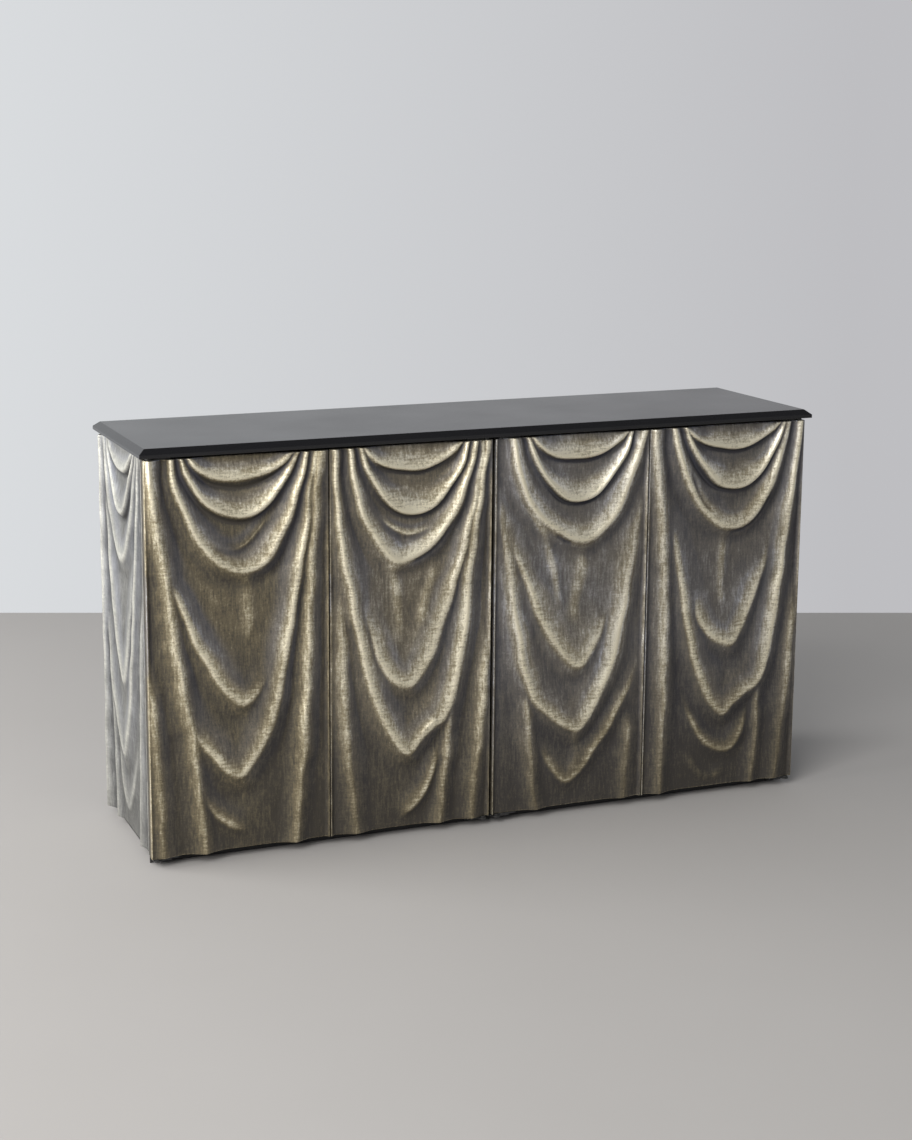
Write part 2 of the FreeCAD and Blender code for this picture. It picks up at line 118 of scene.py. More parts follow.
class NodeSheet:
    """A node tree being written, for a material or for the world."""

    def __init__(self, tree: bpy.types.NodeTree) -> None:
        """Takes a tree and empties it.

        Args:
            tree: The material's or the world's node tree.
        """
        self.tree = tree
        tree.nodes.clear()

    def node(self, kind: str, settings: dict, inputs: dict, output: Union[int, str] = 0) -> Wire:
        """Adds one node.

        Args:
            kind: The node's type.
            settings: Its own settings, with a ramp's stops under "stops".
            inputs: A value or a wire for each socket, by name or index.
            output: The output that is wanted.

        Returns:
            The wire of that output.
        """
        made = self.tree.nodes.new(kind)
        for key, value in settings.items():
            if key == "stops":
                self.set_stops(made.color_ramp, value)
            else:
                setattr(made, key, value)
        for key, value in inputs.items():
            if isinstance(value, Wire):
                self.tree.links.new(value.socket, made.inputs[key])
            else:
                made.inputs[key].default_value = value
        outputs = made.outputs
        return Wire(self, outputs[output] if len(outputs) else None)

    @staticmethod
    def set_stops(ramp: bpy.types.ColorRamp, stops: Sequence[tuple[float, Colour]]) -> None:
        """Gives a colour ramp its stops.

        Args:
            ramp: The ramp of a new node.
            stops: The place and colour of each stop, from low to high.
        """
        while len(ramp.elements) < len(stops):
            ramp.elements.new(1.0)
        for element, (place, colour) in zip(ramp.elements, stops):
            element.position = place
            element.color = (*colour, 1.0)

    def math(self, operation: str, first: Number, second: Number) -> Wire:
        """One Math node on two numbers."""
        return self.node("ShaderNodeMath", {"operation": operation}, {0: first, 1: second})

    def mixed(self, share: Number, low: Union[Wire, Colour], high: Union[Wire, Colour]) -> Wire:
        """A colour between two colours.

        Args:
            share: Zero for the first colour and one for the second.
            low: The first colour.
            high: The second colour.

        Returns:
            The wire of the mixed colour.
        """
        low, high = (colour if isinstance(colour, Wire) else (*colour, 1.0) for colour in (low, high))
        return self.node("ShaderNodeMix", {"data_type": "RGBA"}, {0: share, 6: low, 7: high}, 2)

    def tinted(self, colour: Wire, tint: Colour) -> Wire:
        """A colour multiplied by a tint."""
        settings = {"data_type": "RGBA", "blend_type": "MULTIPLY"}
        return self.node("ShaderNodeMix", settings, {0: 1.0, 6: colour, 7: (*tint, 1.0)}, 2)

    def noise(self, waves: Waves, detail: float = 3.0, roughness: float = 0.6) -> Wire:
        """Noise on object coordinates.

        Args:
            waves: The waves a metre along each axis.
            detail: How many finer layers lie on top.
            roughness: How strong the finer layers are.

        Returns:
            The wire of the noise's value.
        """
        place = self.node("ShaderNodeTexCoord", {}, {}, "Object")
        stretched = self.node("ShaderNodeVectorMath", {"operation": "MULTIPLY"}, {0: place, 1: waves})
        inputs = {"Vector": stretched, "Scale": 1.0, "Detail": detail, "Roughness": roughness}
        return self.node("ShaderNodeTexNoise", {}, inputs)

    def bump(self, height: Wire, distance: float, strength: float) -> Wire:
        """A normal roughened by a height."""
        inputs = {"Height": height, "Distance": distance, "Strength": strength}
        return self.node("ShaderNodeBump", {}, inputs)


# Finishes


@dataclass(frozen=True)
class Finish:
    """What every finish has: a name, and a material that is made once."""

    name: str

    def material(self) -> bpy.types.Material:
        """Finds the finish's material, or makes it when it is first asked for.

        Returns:
            The material.
        """
        found = bpy.data.materials.get(self.name)
        if found is not None:
            return found
        made = bpy.data.materials.new(self.name)
        made.use_nodes = True
        sheet = NodeSheet(made.node_tree)
        shader = sheet.node("ShaderNodeBsdfPrincipled", {}, self.sockets(sheet))
        sheet.node("ShaderNodeOutputMaterial", {}, {"Surface": shader})
        return made

    def sockets(self, sheet: NodeSheet) -> dict[str, Union[Number, Colour]]:
        """The values and wires of the main shader's sockets."""
        raise NotImplementedError


@dataclass(frozen=True)
class DrapedBrass(Finish):
    """Brass sheet, darkened all over and rubbed bright again on its high places, with painted highlights,
    painted shade and a slate tint of painted shade and reflection laid over it from the panel's attributes.

    Waves are counted over a metre. Each depth says how far a pattern moves the mix of rubbing and painted
    light along its ramp of tones.
    """

    darkest: Colour = (0.070, 0.062, 0.050)
    dark: Colour = (0.128, 0.111, 0.078)
    brown: Colour = (0.210, 0.176, 0.112)
    dull_gold: Colour = (0.395, 0.345, 0.232)
    pale_gold: Colour = (0.930, 0.870, 0.680)
    tone_places: tuple[float, ...] = (0.0, 0.25, 0.48, 0.70, 1.0)
    # Slate tint: painted shade on slopes turned away from the light and painted reflection of the pale room
    # in the valleys, over an even wash.
    slate: Colour = (0.83, 0.945, 1.45)
    slate_share: float = 0.95
    cloud_waves: Waves = (7.0, 7.0, 4.2)
    cloud_roughness: float = 0.55
    patch_waves: float = 17.0
    hammer_waves: float = 230.0
    hammer_detail: tuple[float, float] = (4.0, 0.7)
    brush_waves: float = 220.0
    brush_stretch: float = 0.16
    upright_share: float = 0.8
    upright_rubbed: float = 0.5
    level_share: float = 0.2
    level_rubbed: float = 0.6
    streak_waves: Waves = (150.0, 150.0, 9.0)
    cloud_depth: float = 0.45
    patch_depth: float = 0.42
    patch_share: float = 0.6
    patch_rubbed: float = 0.4
    hammer_depth: float = 0.7
    stroke_depth: float = 1.15
    streak_depth: float = 0.25
    # How far the patina in the creases and the painted shade under the crests darken the tone.
    patina_and_shade_depth: float = 0.20
    mottle: float = 1.0
    slate_shade_calm: float = 0.4
    cloud_slate_shade: tuple[float, float] = (0.35, 1.3)
    metallic: tuple[float, float] = (0.60, 0.30)
    roughness: float = 0.60
    wear_gloss: float = 0.08
    hammer_gloss: float = 0.16
    stroke_relief: float = 0.8
    relief: float = 0.85 * MILLIMETRE
    bump_strength: float = 0.9

    def sockets(self, sheet: NodeSheet) -> dict[str, Union[Number, Colour]]:
        """Rubbing mixed with painted light and shade from the panel's own attributes, broken up by hammer
        marks, brush strokes and long streaks.

        Args:
            sheet: The material's node sheet.

        Returns:
            The values and wires of the shader's sockets.
        """
        polish_and_painted_light, patina_and_painted_shade, rubbed, slate_wash_and_shade = (
            sheet.node("ShaderNodeAttribute", {"attribute_name": name}, {}, "Fac")
            for name in ("polish_and_painted_light", "patina_and_painted_shade", "rubbed", "slate_wash_and_shade")
        )
        long, short = self.brush_waves * self.brush_stretch, self.brush_waves
        upright = sheet.noise((short, short, long))
        level = sheet.noise((long, long, short))
        hammer = sheet.noise((self.hammer_waves,) * 3, *self.hammer_detail)
        streak = sheet.noise(self.streak_waves)
        patch = sheet.noise((self.patch_waves,) * 3)
        cloud = sheet.noise(self.cloud_waves, roughness=self.cloud_roughness)
        strokes = self.upright_share * upright + (self.level_share + self.level_rubbed * rubbed) * level
        strokes = strokes - self.upright_rubbed * rubbed * upright
        calm = 1.0 - self.slate_shade_calm * slate_wash_and_shade
        patchy = self.patch_share + self.patch_rubbed * rubbed
        # Place on the ramp of tones: rubbed brightness together with painted light and highlights, then the
        # noise patterns.
        wear_and_light = polish_and_painted_light + self.cloud_depth * (cloud - NOISE_MIDDLE)
        wear_and_light = wear_and_light + self.patch_depth * (patch - NOISE_MIDDLE) * patchy
        marks = self.hammer_depth * (hammer - NOISE_MIDDLE)
        marks = marks + self.stroke_depth * (strokes - NOISE_MIDDLE)
        wear_and_light = wear_and_light + self.mottle * calm * marks
        wear_and_light = wear_and_light + self.streak_depth * (streak - NOISE_MIDDLE) * (1.0 - rubbed)
        # Patina in the creases, with painted shade there and under the crests, darkens the tone.
        wear_and_light = (wear_and_light - self.patina_and_shade_depth * patina_and_painted_shade).clamped()
        tones = (self.darkest, self.dark, self.brown, self.dull_gold, self.pale_gold)
        stops = list(zip(self.tone_places, tones))
        brass = sheet.node("ShaderNodeValToRGB", {"stops": stops}, {"Fac": wear_and_light})
        # Share of the slate tint, which is painted shade and painted reflection, varied by the cloud.
        least, gain = self.cloud_slate_shade
        slate_shade_share = (self.slate_share * slate_wash_and_shade * (least + gain * cloud)).clamped()
        bare, bright = self.metallic
        gloss = self.roughness - self.wear_gloss * wear_and_light + self.hammer_gloss * (hammer - NOISE_MIDDLE)
        return {
            "Base Color": sheet.mixed(slate_shade_share, brass, sheet.tinted(brass, self.slate)),
            "Metallic": (bare + bright * wear_and_light).clamped(),
            "Roughness": gloss.clamped(),
            "Normal": sheet.bump(hammer + self.stroke_relief * strokes, self.relief, self.bump_strength),
        }


@dataclass(frozen=True)
class BlackLacquer(Finish):
    """Satin black lacquer on a fine, filled grain."""

    colour: Colour = (0.007, 0.007, 0.008)
    lift: float = 1.8
    roughness: float = 0.24
    pore_waves: Waves = (27.0, 900.0, 900.0)
    haze_waves: Waves = (5.0, 5.0, 5.0)
    haze_gloss: float = 0.10
    pore_gloss: float = 0.05
    relief: float = 0.02 * MILLIMETRE
    bump_strength: float = 0.5

    def sockets(self, sheet: NodeSheet) -> dict[str, Union[Number, Colour]]:
        """Nearly even black, with faint pores along the boards and a soft change of gloss.

        Args:
            sheet: The material's node sheet.

        Returns:
            The values and wires of the shader's sockets.
        """
        pores = sheet.noise(self.pore_waves)
        haze = sheet.noise(self.haze_waves, *SOFT_DETAIL)
        lifted = tuple(self.lift * channel for channel in self.colour)
        gloss = self.roughness + self.haze_gloss * (haze - NOISE_MIDDLE)
        return {
            "Base Color": sheet.mixed(pores, self.colour, lifted),
            "Roughness": gloss + self.pore_gloss * (pores - NOISE_MIDDLE),
            "Normal": sheet.bump(pores, self.relief, self.bump_strength),
        }


@dataclass(frozen=True)
class StainedBoard(Finish):
    """A stained board whose grain runs one way."""

    colour: Colour = (0.030, 0.028, 0.027)
    light: Colour = (0.070, 0.064, 0.058)
    roughness: float = 0.55
    grain: Waves = (9.0, 160.0, 160.0)
    line_detail: tuple[float, float] = (5.0, 0.65)
    line_depth: float = 0.7
    line_gloss: float = 0.15
    figure_share: float = 0.12
    figure_depth: float = 0.5
    shade_start: float = 0.1
    relief: float = 0.08 * MILLIMETRE
    bump_strength: float = 0.6

    def sockets(self, sheet: NodeSheet) -> dict[str, Union[Number, Colour]]:
        """Long grain lines over broad figure.

        Args:
            sheet: The material's node sheet.

        Returns:
            The values and wires of the shader's sockets.
        """
        lines = sheet.noise(self.grain, *self.line_detail)
        figure = sheet.noise(tuple(self.figure_share * waves for waves in self.grain), *SOFT_DETAIL)
        shade = (lines * self.line_depth + figure * self.figure_depth - self.shade_start).clamped()
        return {
            "Base Color": sheet.mixed(shade, self.colour, self.light),
            "Roughness": self.roughness + self.line_gloss * (lines - NOISE_MIDDLE),
            "Normal": sheet.bump(lines, self.relief, self.bump_strength),
        }


@dataclass(frozen=True)
class CoatedSteel(Finish):
    """Steel under a thin coat, rubbed a little at random."""

    colour: Colour = (0.035, 0.035, 0.036)
    worn: Colour = (0.11, 0.11, 0.11)
    metallic: float = 0.3
    roughness: float = 0.45
    grain_waves: float = 700.0
    rub_waves: float = 55.0
    rub_start: float = 0.42
    rub_gain: float = 2.2
    grain_gloss: float = 0.2
    relief: float = 0.03 * MILLIMETRE
    bump_strength: float = 0.5

    def sockets(self, sheet: NodeSheet) -> dict[str, Union[Number, Colour]]:
        """A fine grain in colour, gloss and surface.

        Args:
            sheet: The material's node sheet.

        Returns:
            The values and wires of the shader's sockets.
        """
        grain = sheet.noise((self.grain_waves,) * 3)
        rub = sheet.noise((self.rub_waves,) * 3)
        bare = (self.rub_gain * (rub - self.rub_start)).clamped() * grain
        return {
            "Base Color": sheet.mixed(bare, self.colour, self.worn),
            "Metallic": self.metallic,
            "Roughness": self.roughness + self.grain_gloss * (grain - NOISE_MIDDLE),
            "Normal": sheet.bump(grain, self.relief, self.bump_strength),
        }


@dataclass(frozen=True)
class MouldedPlastic(Finish):
    """Moulded plastic with a fine spark texture."""

    colour: Colour = (0.05, 0.05, 0.053)
    lift: float = 1.5
    roughness: float = 0.5
    spark_waves: float = 1500.0
    spark_gloss: float = 0.1
    relief: float = 0.03 * MILLIMETRE
    bump_strength: float = 0.5

    def sockets(self, sheet: NodeSheet) -> dict[str, Union[Number, Colour]]:
        """One colour with a faint mottle.

        Args:
            sheet: The material's node sheet.

        Returns:
            The values and wires of the shader's sockets.
        """
        spark = sheet.noise((self.spark_waves,) * 3, *SOFT_DETAIL)
        lifted = tuple(self.lift * channel for channel in self.colour)
        return {
            "Base Color": sheet.mixed(spark, self.colour, lifted),
            "Roughness": self.roughness + self.spark_gloss * (spark - NOISE_MIDDLE),
            "Normal": sheet.bump(spark, self.relief, self.bump_strength),
        }


@dataclass(frozen=True)
class PaleGround(Finish):
    """The studio's plain pale floor."""

    colour: Colour = (0.363, 0.351, 0.342)
    light: Colour = (0.389, 0.377, 0.369)
    roughness: float = 1.0
    cloud_waves: float = 1.5
    cloud_roughness: float = 0.5

    def sockets(self, sheet: NodeSheet) -> dict[str, Union[Number, Colour]]:
        """A matt tone with the faintest cloud in it."""
        cloud = sheet.noise((self.cloud_waves,) * 3, roughness=self.cloud_roughness)
        return {"Base Color": sheet.mixed(cloud, self.colour, self.light), "Roughness": self.roughness}


BRASS = DrapedBrass("draped_brass")
# A greyer, paler copy of the brass for the ends, whose tones stand in for the bright window reflected in
# them: painted reflection.
END_BRASS_PAINTED_REFLECTION = DrapedBrass(
    "draped_brass_end_painted_reflection", darkest=(0.050, 0.050, 0.048), dark=(0.110, 0.110, 0.105),
    brown=(0.215, 0.214, 0.200), dull_gold=(0.330, 0.328, 0.305), pale_gold=(0.560, 0.552, 0.500),
    slate_share=0.30, mottle=0.6,
)
SLAB_LACQUER = BlackLacquer("slab_lacquer")
PLINTH_LACQUER = BlackLacquer("plinth_lacquer", roughness=0.45)
LENGTHWISE_BOARD = StainedBoard("stained_board_lengthwise")
UPRIGHT_BOARD = StainedBoard("stained_board_upright", grain=(160.0, 160.0, 9.0))
DEEP_BOARD = StainedBoard("stained_board_front_to_back", grain=(160.0, 9.0, 160.0))
TENON_WOOD = StainedBoard("tenon_beech", colour=(0.42, 0.27, 0.14), light=(0.62, 0.44, 0.27))
BLACK_STEEL = CoatedSteel("black_steel")
ZINC_STEEL = CoatedSteel(
    "zinc_steel", colour=(0.42, 0.42, 0.43), worn=(0.6, 0.6, 0.6), metallic=0.9, roughness=0.35,
)
LATCH_PLASTIC = MouldedPlastic("latch_plastic")
GLIDE_PLASTIC = MouldedPlastic("glide_plastic", colour=(0.02, 0.02, 0.02), roughness=0.6)
GROUND = PaleGround("pale_ground")


# Draped relief


class FoldKind(Enum):
    """How a fold's cross-section is shaped."""

    SWAG = "swag"
    PLEAT = "pleat"
    WRINKLE = "wrinkle"
    CREASE = "crease"


@dataclass(frozen=True)
class Fold:
    """One fold of the cloth, along a smooth line through a few points.

    Points are thousandths of the panel, from its left edge and from its top hem. A swag runs from its left
    gather round its lowest point to its right gather. Widths are millimetres. At the sides the cloth slopes
    over `arm` to both sides of the crest. At its lowest point it slopes over `above` towards the inside and
    over `below` towards the outside, where it dips by `dip`. It is rubbed bright over `rub` inside the crest.
    """

    points: tuple[Point, ...]
    rise: float
    arm: float = 15.0
    above: float = 60.0
    below: float = 30.0
    dip: float = 2.0
    rub: float = 16.0
    kind: FoldKind = FoldKind.SWAG


def swag(
    points: Sequence[Point], rise: float, arm: float, above: float, below: float, dip: float = 2.0,
    rub: float = 16.0,
) -> Fold:
    """A swag, with its sizes in millimetres."""
    return Fold(tuple(points), rise, arm, above, below, dip, rub)


def pleat(points: Sequence[Point], rise: float, arm: float) -> Fold:
    """A fold that runs down the cloth, as wide on both sides."""
    return Fold(tuple(points), rise, arm, kind=FoldKind.PLEAT)


def wrinkle(points: Sequence[Point], rise: float, arm: float) -> Fold:
    """A low fold on top of whatever the cloth does there."""
    return Fold(tuple(points), rise, arm, kind=FoldKind.WRINKLE)


def crease(points: Sequence[Point], depth: float, width: float) -> Fold:
    """A sharp groove."""
    return Fold(tuple(points), depth, width, kind=FoldKind.CREASE)


def smooth_line(points: Sequence[Point], size: tuple[float, float], steps: int) -> np.ndarray:
    """A Catmull-Rom curve through a fold's points.

    Args:
        points: Thousandths of the panel.
        size: The panel's width and height.
        steps: How many stretches the curve has between two points.

    Returns:
        The curve's points in metres, from the panel's top left corner, across and down.
    """
    knots = np.array(points, float) / PANEL_PARTS * np.array(size)
    padded = np.vstack([2 * knots[0] - knots[1], knots, 2 * knots[-1] - knots[-2]])
    line = []
    for start in range(len(knots) - 1):
        before, near, far, after = padded[start:start + 4]
        for step in range(steps):
            t = step / steps
            bend = 2 * before - 5 * near + 4 * far - after
            twist = 3 * near - before - 3 * far + after
            line.append(0.5 * (2 * near + (far - before) * t + bend * t ** 2 + twist * t ** 3))
    return np.array(line + [knots[-1]])


def eased(low: float, high: float, value: np.ndarray) -> np.ndarray:
    """A smooth step from zero at low to one at high."""
    share = np.clip((value - low) / (high - low), 0.0, 1.0)
    return share * share * (3.0 - 2.0 * share)


def softened(values: np.ndarray, reach: int) -> np.ndarray:
    """Blurs values along both axes of a grid.

    Args:
        values: The grid.
        reach: How many of the grid's steps the blur reaches.

    Returns:
        The blurred grid.
    """
    weights = np.exp(-0.5 * (np.arange(-2 * reach, 2 * reach + 1) / reach) ** 2)
    weights /= weights.sum()
    for axis in (0, 1):
        margin = [(2 * reach, 2 * reach) if side == axis else (0, 0) for side in (0, 1)]
        padded = np.pad(values, margin, mode="edge")
        count = values.shape[axis]
        values = sum(
            weight * padded.take(range(shift, shift + count), axis) for shift, weight in enumerate(weights)
        )
    return values


@dataclass
class FoldShape:
    """What one fold does at every place: its lift, the dip beside it, where it is rubbed, and where painted
    shade and the slate tint of painted reflection go.
    """

    lift: np.ndarray
    lowered: Union[np.ndarray, float] = 0.0
    rubbed: Union[np.ndarray, float] = 0.0
    shaded: Union[np.ndarray, float] = 0.0
    valley_reflection: Union[np.ndarray, float] = 0.0


@dataclass(frozen=True)
class Profile:
    """How a fold is cut across, in multiples of its widths, shares of its depth and powers of its slopes."""

    loose_end: float = 0.28
    small_loose_end: float = 0.25
    pleat_reach: float = 2.0
    pleat_rub: float = 0.55
    pleat_rub_reach: float = 0.60
    inner_reach: float = 2.6
    outer_reach: float = 2.2
    inner_power: float = 1.25
    outer_power: float = 1.7
    bottom_start: float = 0.45
    gathered_width: float = 0.55
    gathered_depth: float = 0.4
    gathered_rise: float = 0.75
    risen_depth: float = 0.3
    crest_blend: float = 5.0
    dip_place: float = 0.9
    dip_reach: float = 0.5
    arm_rub: float = 0.26
    bottom_rub: float = 0.55
    arm_rub_share: float = 0.70
    bottom_rub_gain: float = 0.25
    rub_power: float = 1.3
    widest_sharp_rub: float = 0.5
    sharp_rub_gain: float = 0.09
    shade_place: float = 2.3
    shade_reach: float = 1.6
    valley_place: float = 0.6
    valley_width: float = 0.6


@dataclass(frozen=True)
class WearAndLight:
    """How the finish follows the relief: what each feature adds to the rubbed brightness and to the painted
    light and shade, and where the slate tint of painted shade and reflection goes.

    Slopes that face right get painted shade, and those that face left or up get painted light, as if lit from
    the upper left.
    """

    wrinkle_rub: float = 0.2
    wrinkle_height: float = 2.0 * MILLIMETRE
    crease_depth: float = 4.0 * MILLIMETRE
    # Share of the painted shade under the crests in the darkening.
    shade_hollow: float = 0.8
    valley_reflection_share: float = 0.85
    rubbed_warmth: float = 0.8
    middle: float = 0.45
    rubbed: float = 0.40
    crest: float = 0.08
    ridge: float = 0.15
    height: float = 0.06
    slate_wash_and_shade: float = 0.02
    # Painted shade on slopes that face right, and painted light on slopes that face left or up.
    painted_shade_facing_right: float = 0.07
    painted_light_facing_left: float = 0.02
    painted_light_facing_up: float = 0.06
    crest_scale: float = 0.9 * MILLIMETRE
    ridge_scale: float = 3.4 * MILLIMETRE
    middle_level: float = 9.0 * MILLIMETRE
    level_range: float = 12.0 * MILLIMETRE
    slope_scale: float = 0.30
    shaded_slope_range: tuple[float, float] = (0.03, 0.34)
    foot_start: float = 0.50
    foot_calm: float = 0.22
    foot_warmth: float = 0.75
    bright_places: tuple[float, float] = (0.50, 0.75)
    bright_warmth: float = 0.6
    knee: float = 0.62
    headroom: float = 0.42
    # Painted highlight along the top hem, where the rolled edge catches the light, and along every edge,
    # partly rubbed wear.
    hem_highlight: float = 0.85
    hem_width: float = 2.2 * MILLIMETRE
    rim_wear_and_highlight: float = 0.80
    rim_width: float = 1.5 * MILLIMETRE


@dataclass
class DrapedPanel:
    """One brass skin: a sheet draped over a board, with its edges turned back over the board's sides.

    The panel has its own axes: across to the viewer's right, down, and outward from the board's face. Its
    grid has a place at each share of `edge_places` over the rounded edge. `blurs` are grid steps.
    """

    name: str
    corner: Vector
    across: Vector
    outward: Vector
    width: float
    height: float
    return_depth: float
    folds: Sequence[Fold]
    sheet_thickness: float = 1.2 * MILLIMETRE
    edge_round: float = 1.8 * MILLIMETRE
    edge_level: float = 10.0 * MILLIMETRE
    edge_reach: float = 9.0 * MILLIMETRE
    inner_level: float = 0.05 * MILLIMETRE
    thinnest: float = 0.4 * MILLIMETRE
    crest_round: float = 3.6 * MILLIMETRE
    ground_level: float = 3.6 * MILLIMETRE
    lowest_level: float = 1.6 * MILLIMETRE
    highest_level: float = 20.2 * MILLIMETRE
    join_round: float = 1.1 * MILLIMETRE
    sharpest_rub: float = 4.0 * MILLIMETRE
    valley_reach: float = 30.0 * MILLIMETRE
    longest_wave: float = 150.0 * MILLIMETRE
    shortest_waver: float = 75.0 * MILLIMETRE
    shortest_ripple: float = 30.0 * MILLIMETRE
    wave_count: int = 12
    waver: float = 1.3 * MILLIMETRE
    ripple: float = 0.30 * MILLIMETRE
    cell: float = 2.0 * MILLIMETRE
    fewest_cells: int = 8
    edge_places: tuple[float, ...] = (0.0, 0.12, 0.42)
    crest_blur: int = 5
    quick_crest_blur: int = 2
    blurs: tuple[int, int] = (4, 16)
    quick_blurs: tuple[int, int] = (2, 8)
    line_steps: int = 7
    slate_shade_share: float = 1.0
    wash: float = 0.1
    brightness: float = 0.0
    boldness: float = 1.28
    contrast: float = 1.0
    foot_shade: float = 0.20
    profile: Profile = Profile()
    wear_and_light: WearAndLight = WearAndLight()
    back_marks: tuple[tuple[str, float], ...] = (
        ("polish_and_painted_light", 0.06), ("patina_and_painted_shade", 0.6), ("rubbed", 0.1), ("slate_wash_and_shade", 0.3),
    )
    finish: Finish = BRASS
    seed: int = 0

    def spacing(self, length: float) -> np.ndarray:
        """Grid places along one side, close together where the edge is rounded.

        Args:
            length: The side's length.

        Returns:
            The places, from zero to the length.
        """
        turn = self.edge_round
        count = max(self.fewest_cells, round((length - 2 * turn) / self.cell))
        ease = [share * turn for share in self.edge_places]
        middle = list(np.linspace(turn, length - turn, count))
        return np.array(ease + middle + [length - place for place in reversed(ease)])

    def line_field(
        self, line: np.ndarray, across: np.ndarray, down: np.ndarray,
    ) -> tuple[np.ndarray, np.ndarray]:
        """How far each grid place is from a fold's line, and where along it.

        Args:
            line: The fold's points in metres.
            across: Each place's distance from the left edge.
            down: Each place's distance from the top hem.

        Returns:
            The distance, positive on the outer or lower side, and the place along the line from zero to one.
        """
        nearest = np.full(across.shape, np.inf)
        side = np.ones(across.shape)
        along = np.zeros(across.shape)
        for index, (start, end) in enumerate(zip(line[:-1], line[1:])):
            step = end - start
            share = ((across - start[0]) * step[0] + (down - start[1]) * step[1]) / max(step @ step, TINY)
            share = np.clip(share, 0.0, 1.0)
            off_across = across - start[0] - share * step[0]
            off_down = down - start[1] - share * step[1]
            distance = off_across ** 2 + off_down ** 2
            closer = distance < nearest
            nearest[closer] = distance[closer]
            side[closer] = (step[0] * off_down - step[1] * off_across)[closer]
            along[closer] = index + share[closer]
        return np.sqrt(nearest) * np.sign(side), along / (len(line) - 1)

    def fold_shape(self, fold: Fold, across: np.ndarray, down: np.ndarray) -> FoldShape:
        """What one fold does at each place of the panel.

        Args:
            fold: The fold.
            across: Each place's distance from the left edge.
            down: Each place's distance from the top hem.

        Returns:
            The fold's lift, its dip, its rubbing, and its painted shade and slate tint.
        """
        line = smooth_line(fold.points, (self.width, self.height), self.line_steps)
        distance, along = self.line_field(line, across, down)
        cut = self.profile
        arm = fold.arm * MILLIMETRE
        rise = self.boldness * fold.rise * MILLIMETRE
        if fold.kind in (FoldKind.CREASE, FoldKind.WRINKLE):
            fade = eased(0.0, cut.small_loose_end, along) * eased(0.0, cut.small_loose_end, 1.0 - along)
            return FoldShape(rise * fade * np.exp(-(distance / arm) ** 2))
        reach = np.sqrt(distance ** 2 + self.crest_round ** 2) - self.crest_round
        fade = self.loose_ends(line, along)
        if fold.kind is FoldKind.PLEAT:
            lift = rise * fade * (1.0 - np.clip(reach / (cut.pleat_reach * arm), 0.0, 1.0)) ** cut.outer_power
            rubbed = cut.pleat_rub * fade * np.exp(-np.abs(distance) / (cut.pleat_rub_reach * arm))
            return FoldShape(lift, rubbed=rubbed)
        return self.swag_shape(fold, line, distance, along, reach, fade)

    def loose_ends(self, line: np.ndarray, along: np.ndarray) -> np.ndarray:
        """How far a fold is drawn out along its line.

        Args:
            line: The fold's points in metres.
            along: Each place's share of the line.

        Returns:
            One along the fold, easing to zero at each end that stops inside the panel.
        """
        fade = np.ones(along.shape)
        if line[0][1] > 0.0:
            fade *= eased(0.0, self.profile.loose_end, along)
        if 0.0 < line[-1][1] < self.height:
            fade *= eased(0.0, self.profile.loose_end, 1.0 - along)
        return fade

    def swag_shape(
        self, fold: Fold, line: np.ndarray, distance: np.ndarray, along: np.ndarray, reach: np.ndarray,
        fade: np.ndarray,
    ) -> FoldShape:
        """A swag's shape: narrow in its gathered arms, broad inside and steep outside at its lowest point.

        Args:
            fold: The swag.
            line: Its points in metres.
            distance: Each place's distance from the line, positive on the outer or lower side.
            along: Each place's share of the line.
            reach: The distance with the crest rounded off.
            fade: How far the swag is drawn out there.

        Returns:
            The swag's lift, its dip, its rubbing, the painted shade under its crest and the painted
            reflection in the valley inside it.
        """
        cut = self.profile
        arm = fold.arm * MILLIMETRE
        rise = self.boldness * fold.rise * MILLIMETRE
        depth = np.interp(along * (len(line) - 1), np.arange(len(line)), line[:, 1])
        sunk = np.clip((depth - line[:, 1].min()) / np.ptp(line[:, 1]), 0.0, 1.0)
        bottom = eased(cut.bottom_start, 1.0, sunk)
        gathered = cut.gathered_width + (1.0 - cut.gathered_width) * eased(0.0, cut.gathered_depth, sunk)
        inner = cut.inner_reach * arm * gathered * (1.0 - bottom) + fold.above * MILLIMETRE * bottom
        outer = cut.outer_reach * arm * gathered * (1.0 - bottom) + fold.below * MILLIMETRE * bottom
        inside = distance < 0.0
        slope = 1.0 - np.clip(np.where(inside, reach / inner, reach / outer), 0.0, 1.0)
        slope = slope ** np.where(inside, cut.inner_power, cut.outer_power)
        risen = cut.gathered_rise + (1.0 - cut.gathered_rise) * eased(0.0, cut.risen_depth, sunk)
        lift = rise * fade * risen * slope
        away = eased(self.crest_round, cut.crest_blend * self.crest_round, np.abs(distance))
        blur = self.crest_blur
        lift = lift * (1.0 - away) + softened(lift, blur) * away
        beside = (distance - cut.dip_place * outer) / (cut.dip_reach * outer)
        lowered = fold.dip * MILLIMETRE * fade * np.exp(-beside ** 2)
        soft_side = np.minimum(fold.rub * MILLIMETRE, (cut.arm_rub + cut.bottom_rub * bottom) * inner)
        soft_side = soft_side * (cut.arm_rub_share + cut.bottom_rub_gain * bottom)
        sharp_side = self.sharpest_rub + cut.sharp_rub_gain * outer
        sharp_side = np.minimum(cut.widest_sharp_rub * outer * gathered, sharp_side)
        soft_fade = (np.abs(distance) / soft_side) ** cut.rub_power
        faded = np.where(inside, soft_fade, (distance / sharp_side) ** 2)
        rubbed = fade * np.exp(-faded)
        # Painted shade: a dark band just outside and below the crest, where the steep outer slope turns away
        # from the light.
        under = (distance - cut.shade_place * self.sharpest_rub) / (cut.shade_reach * self.sharpest_rub)
        shaded = fade * np.exp(-under ** 2)
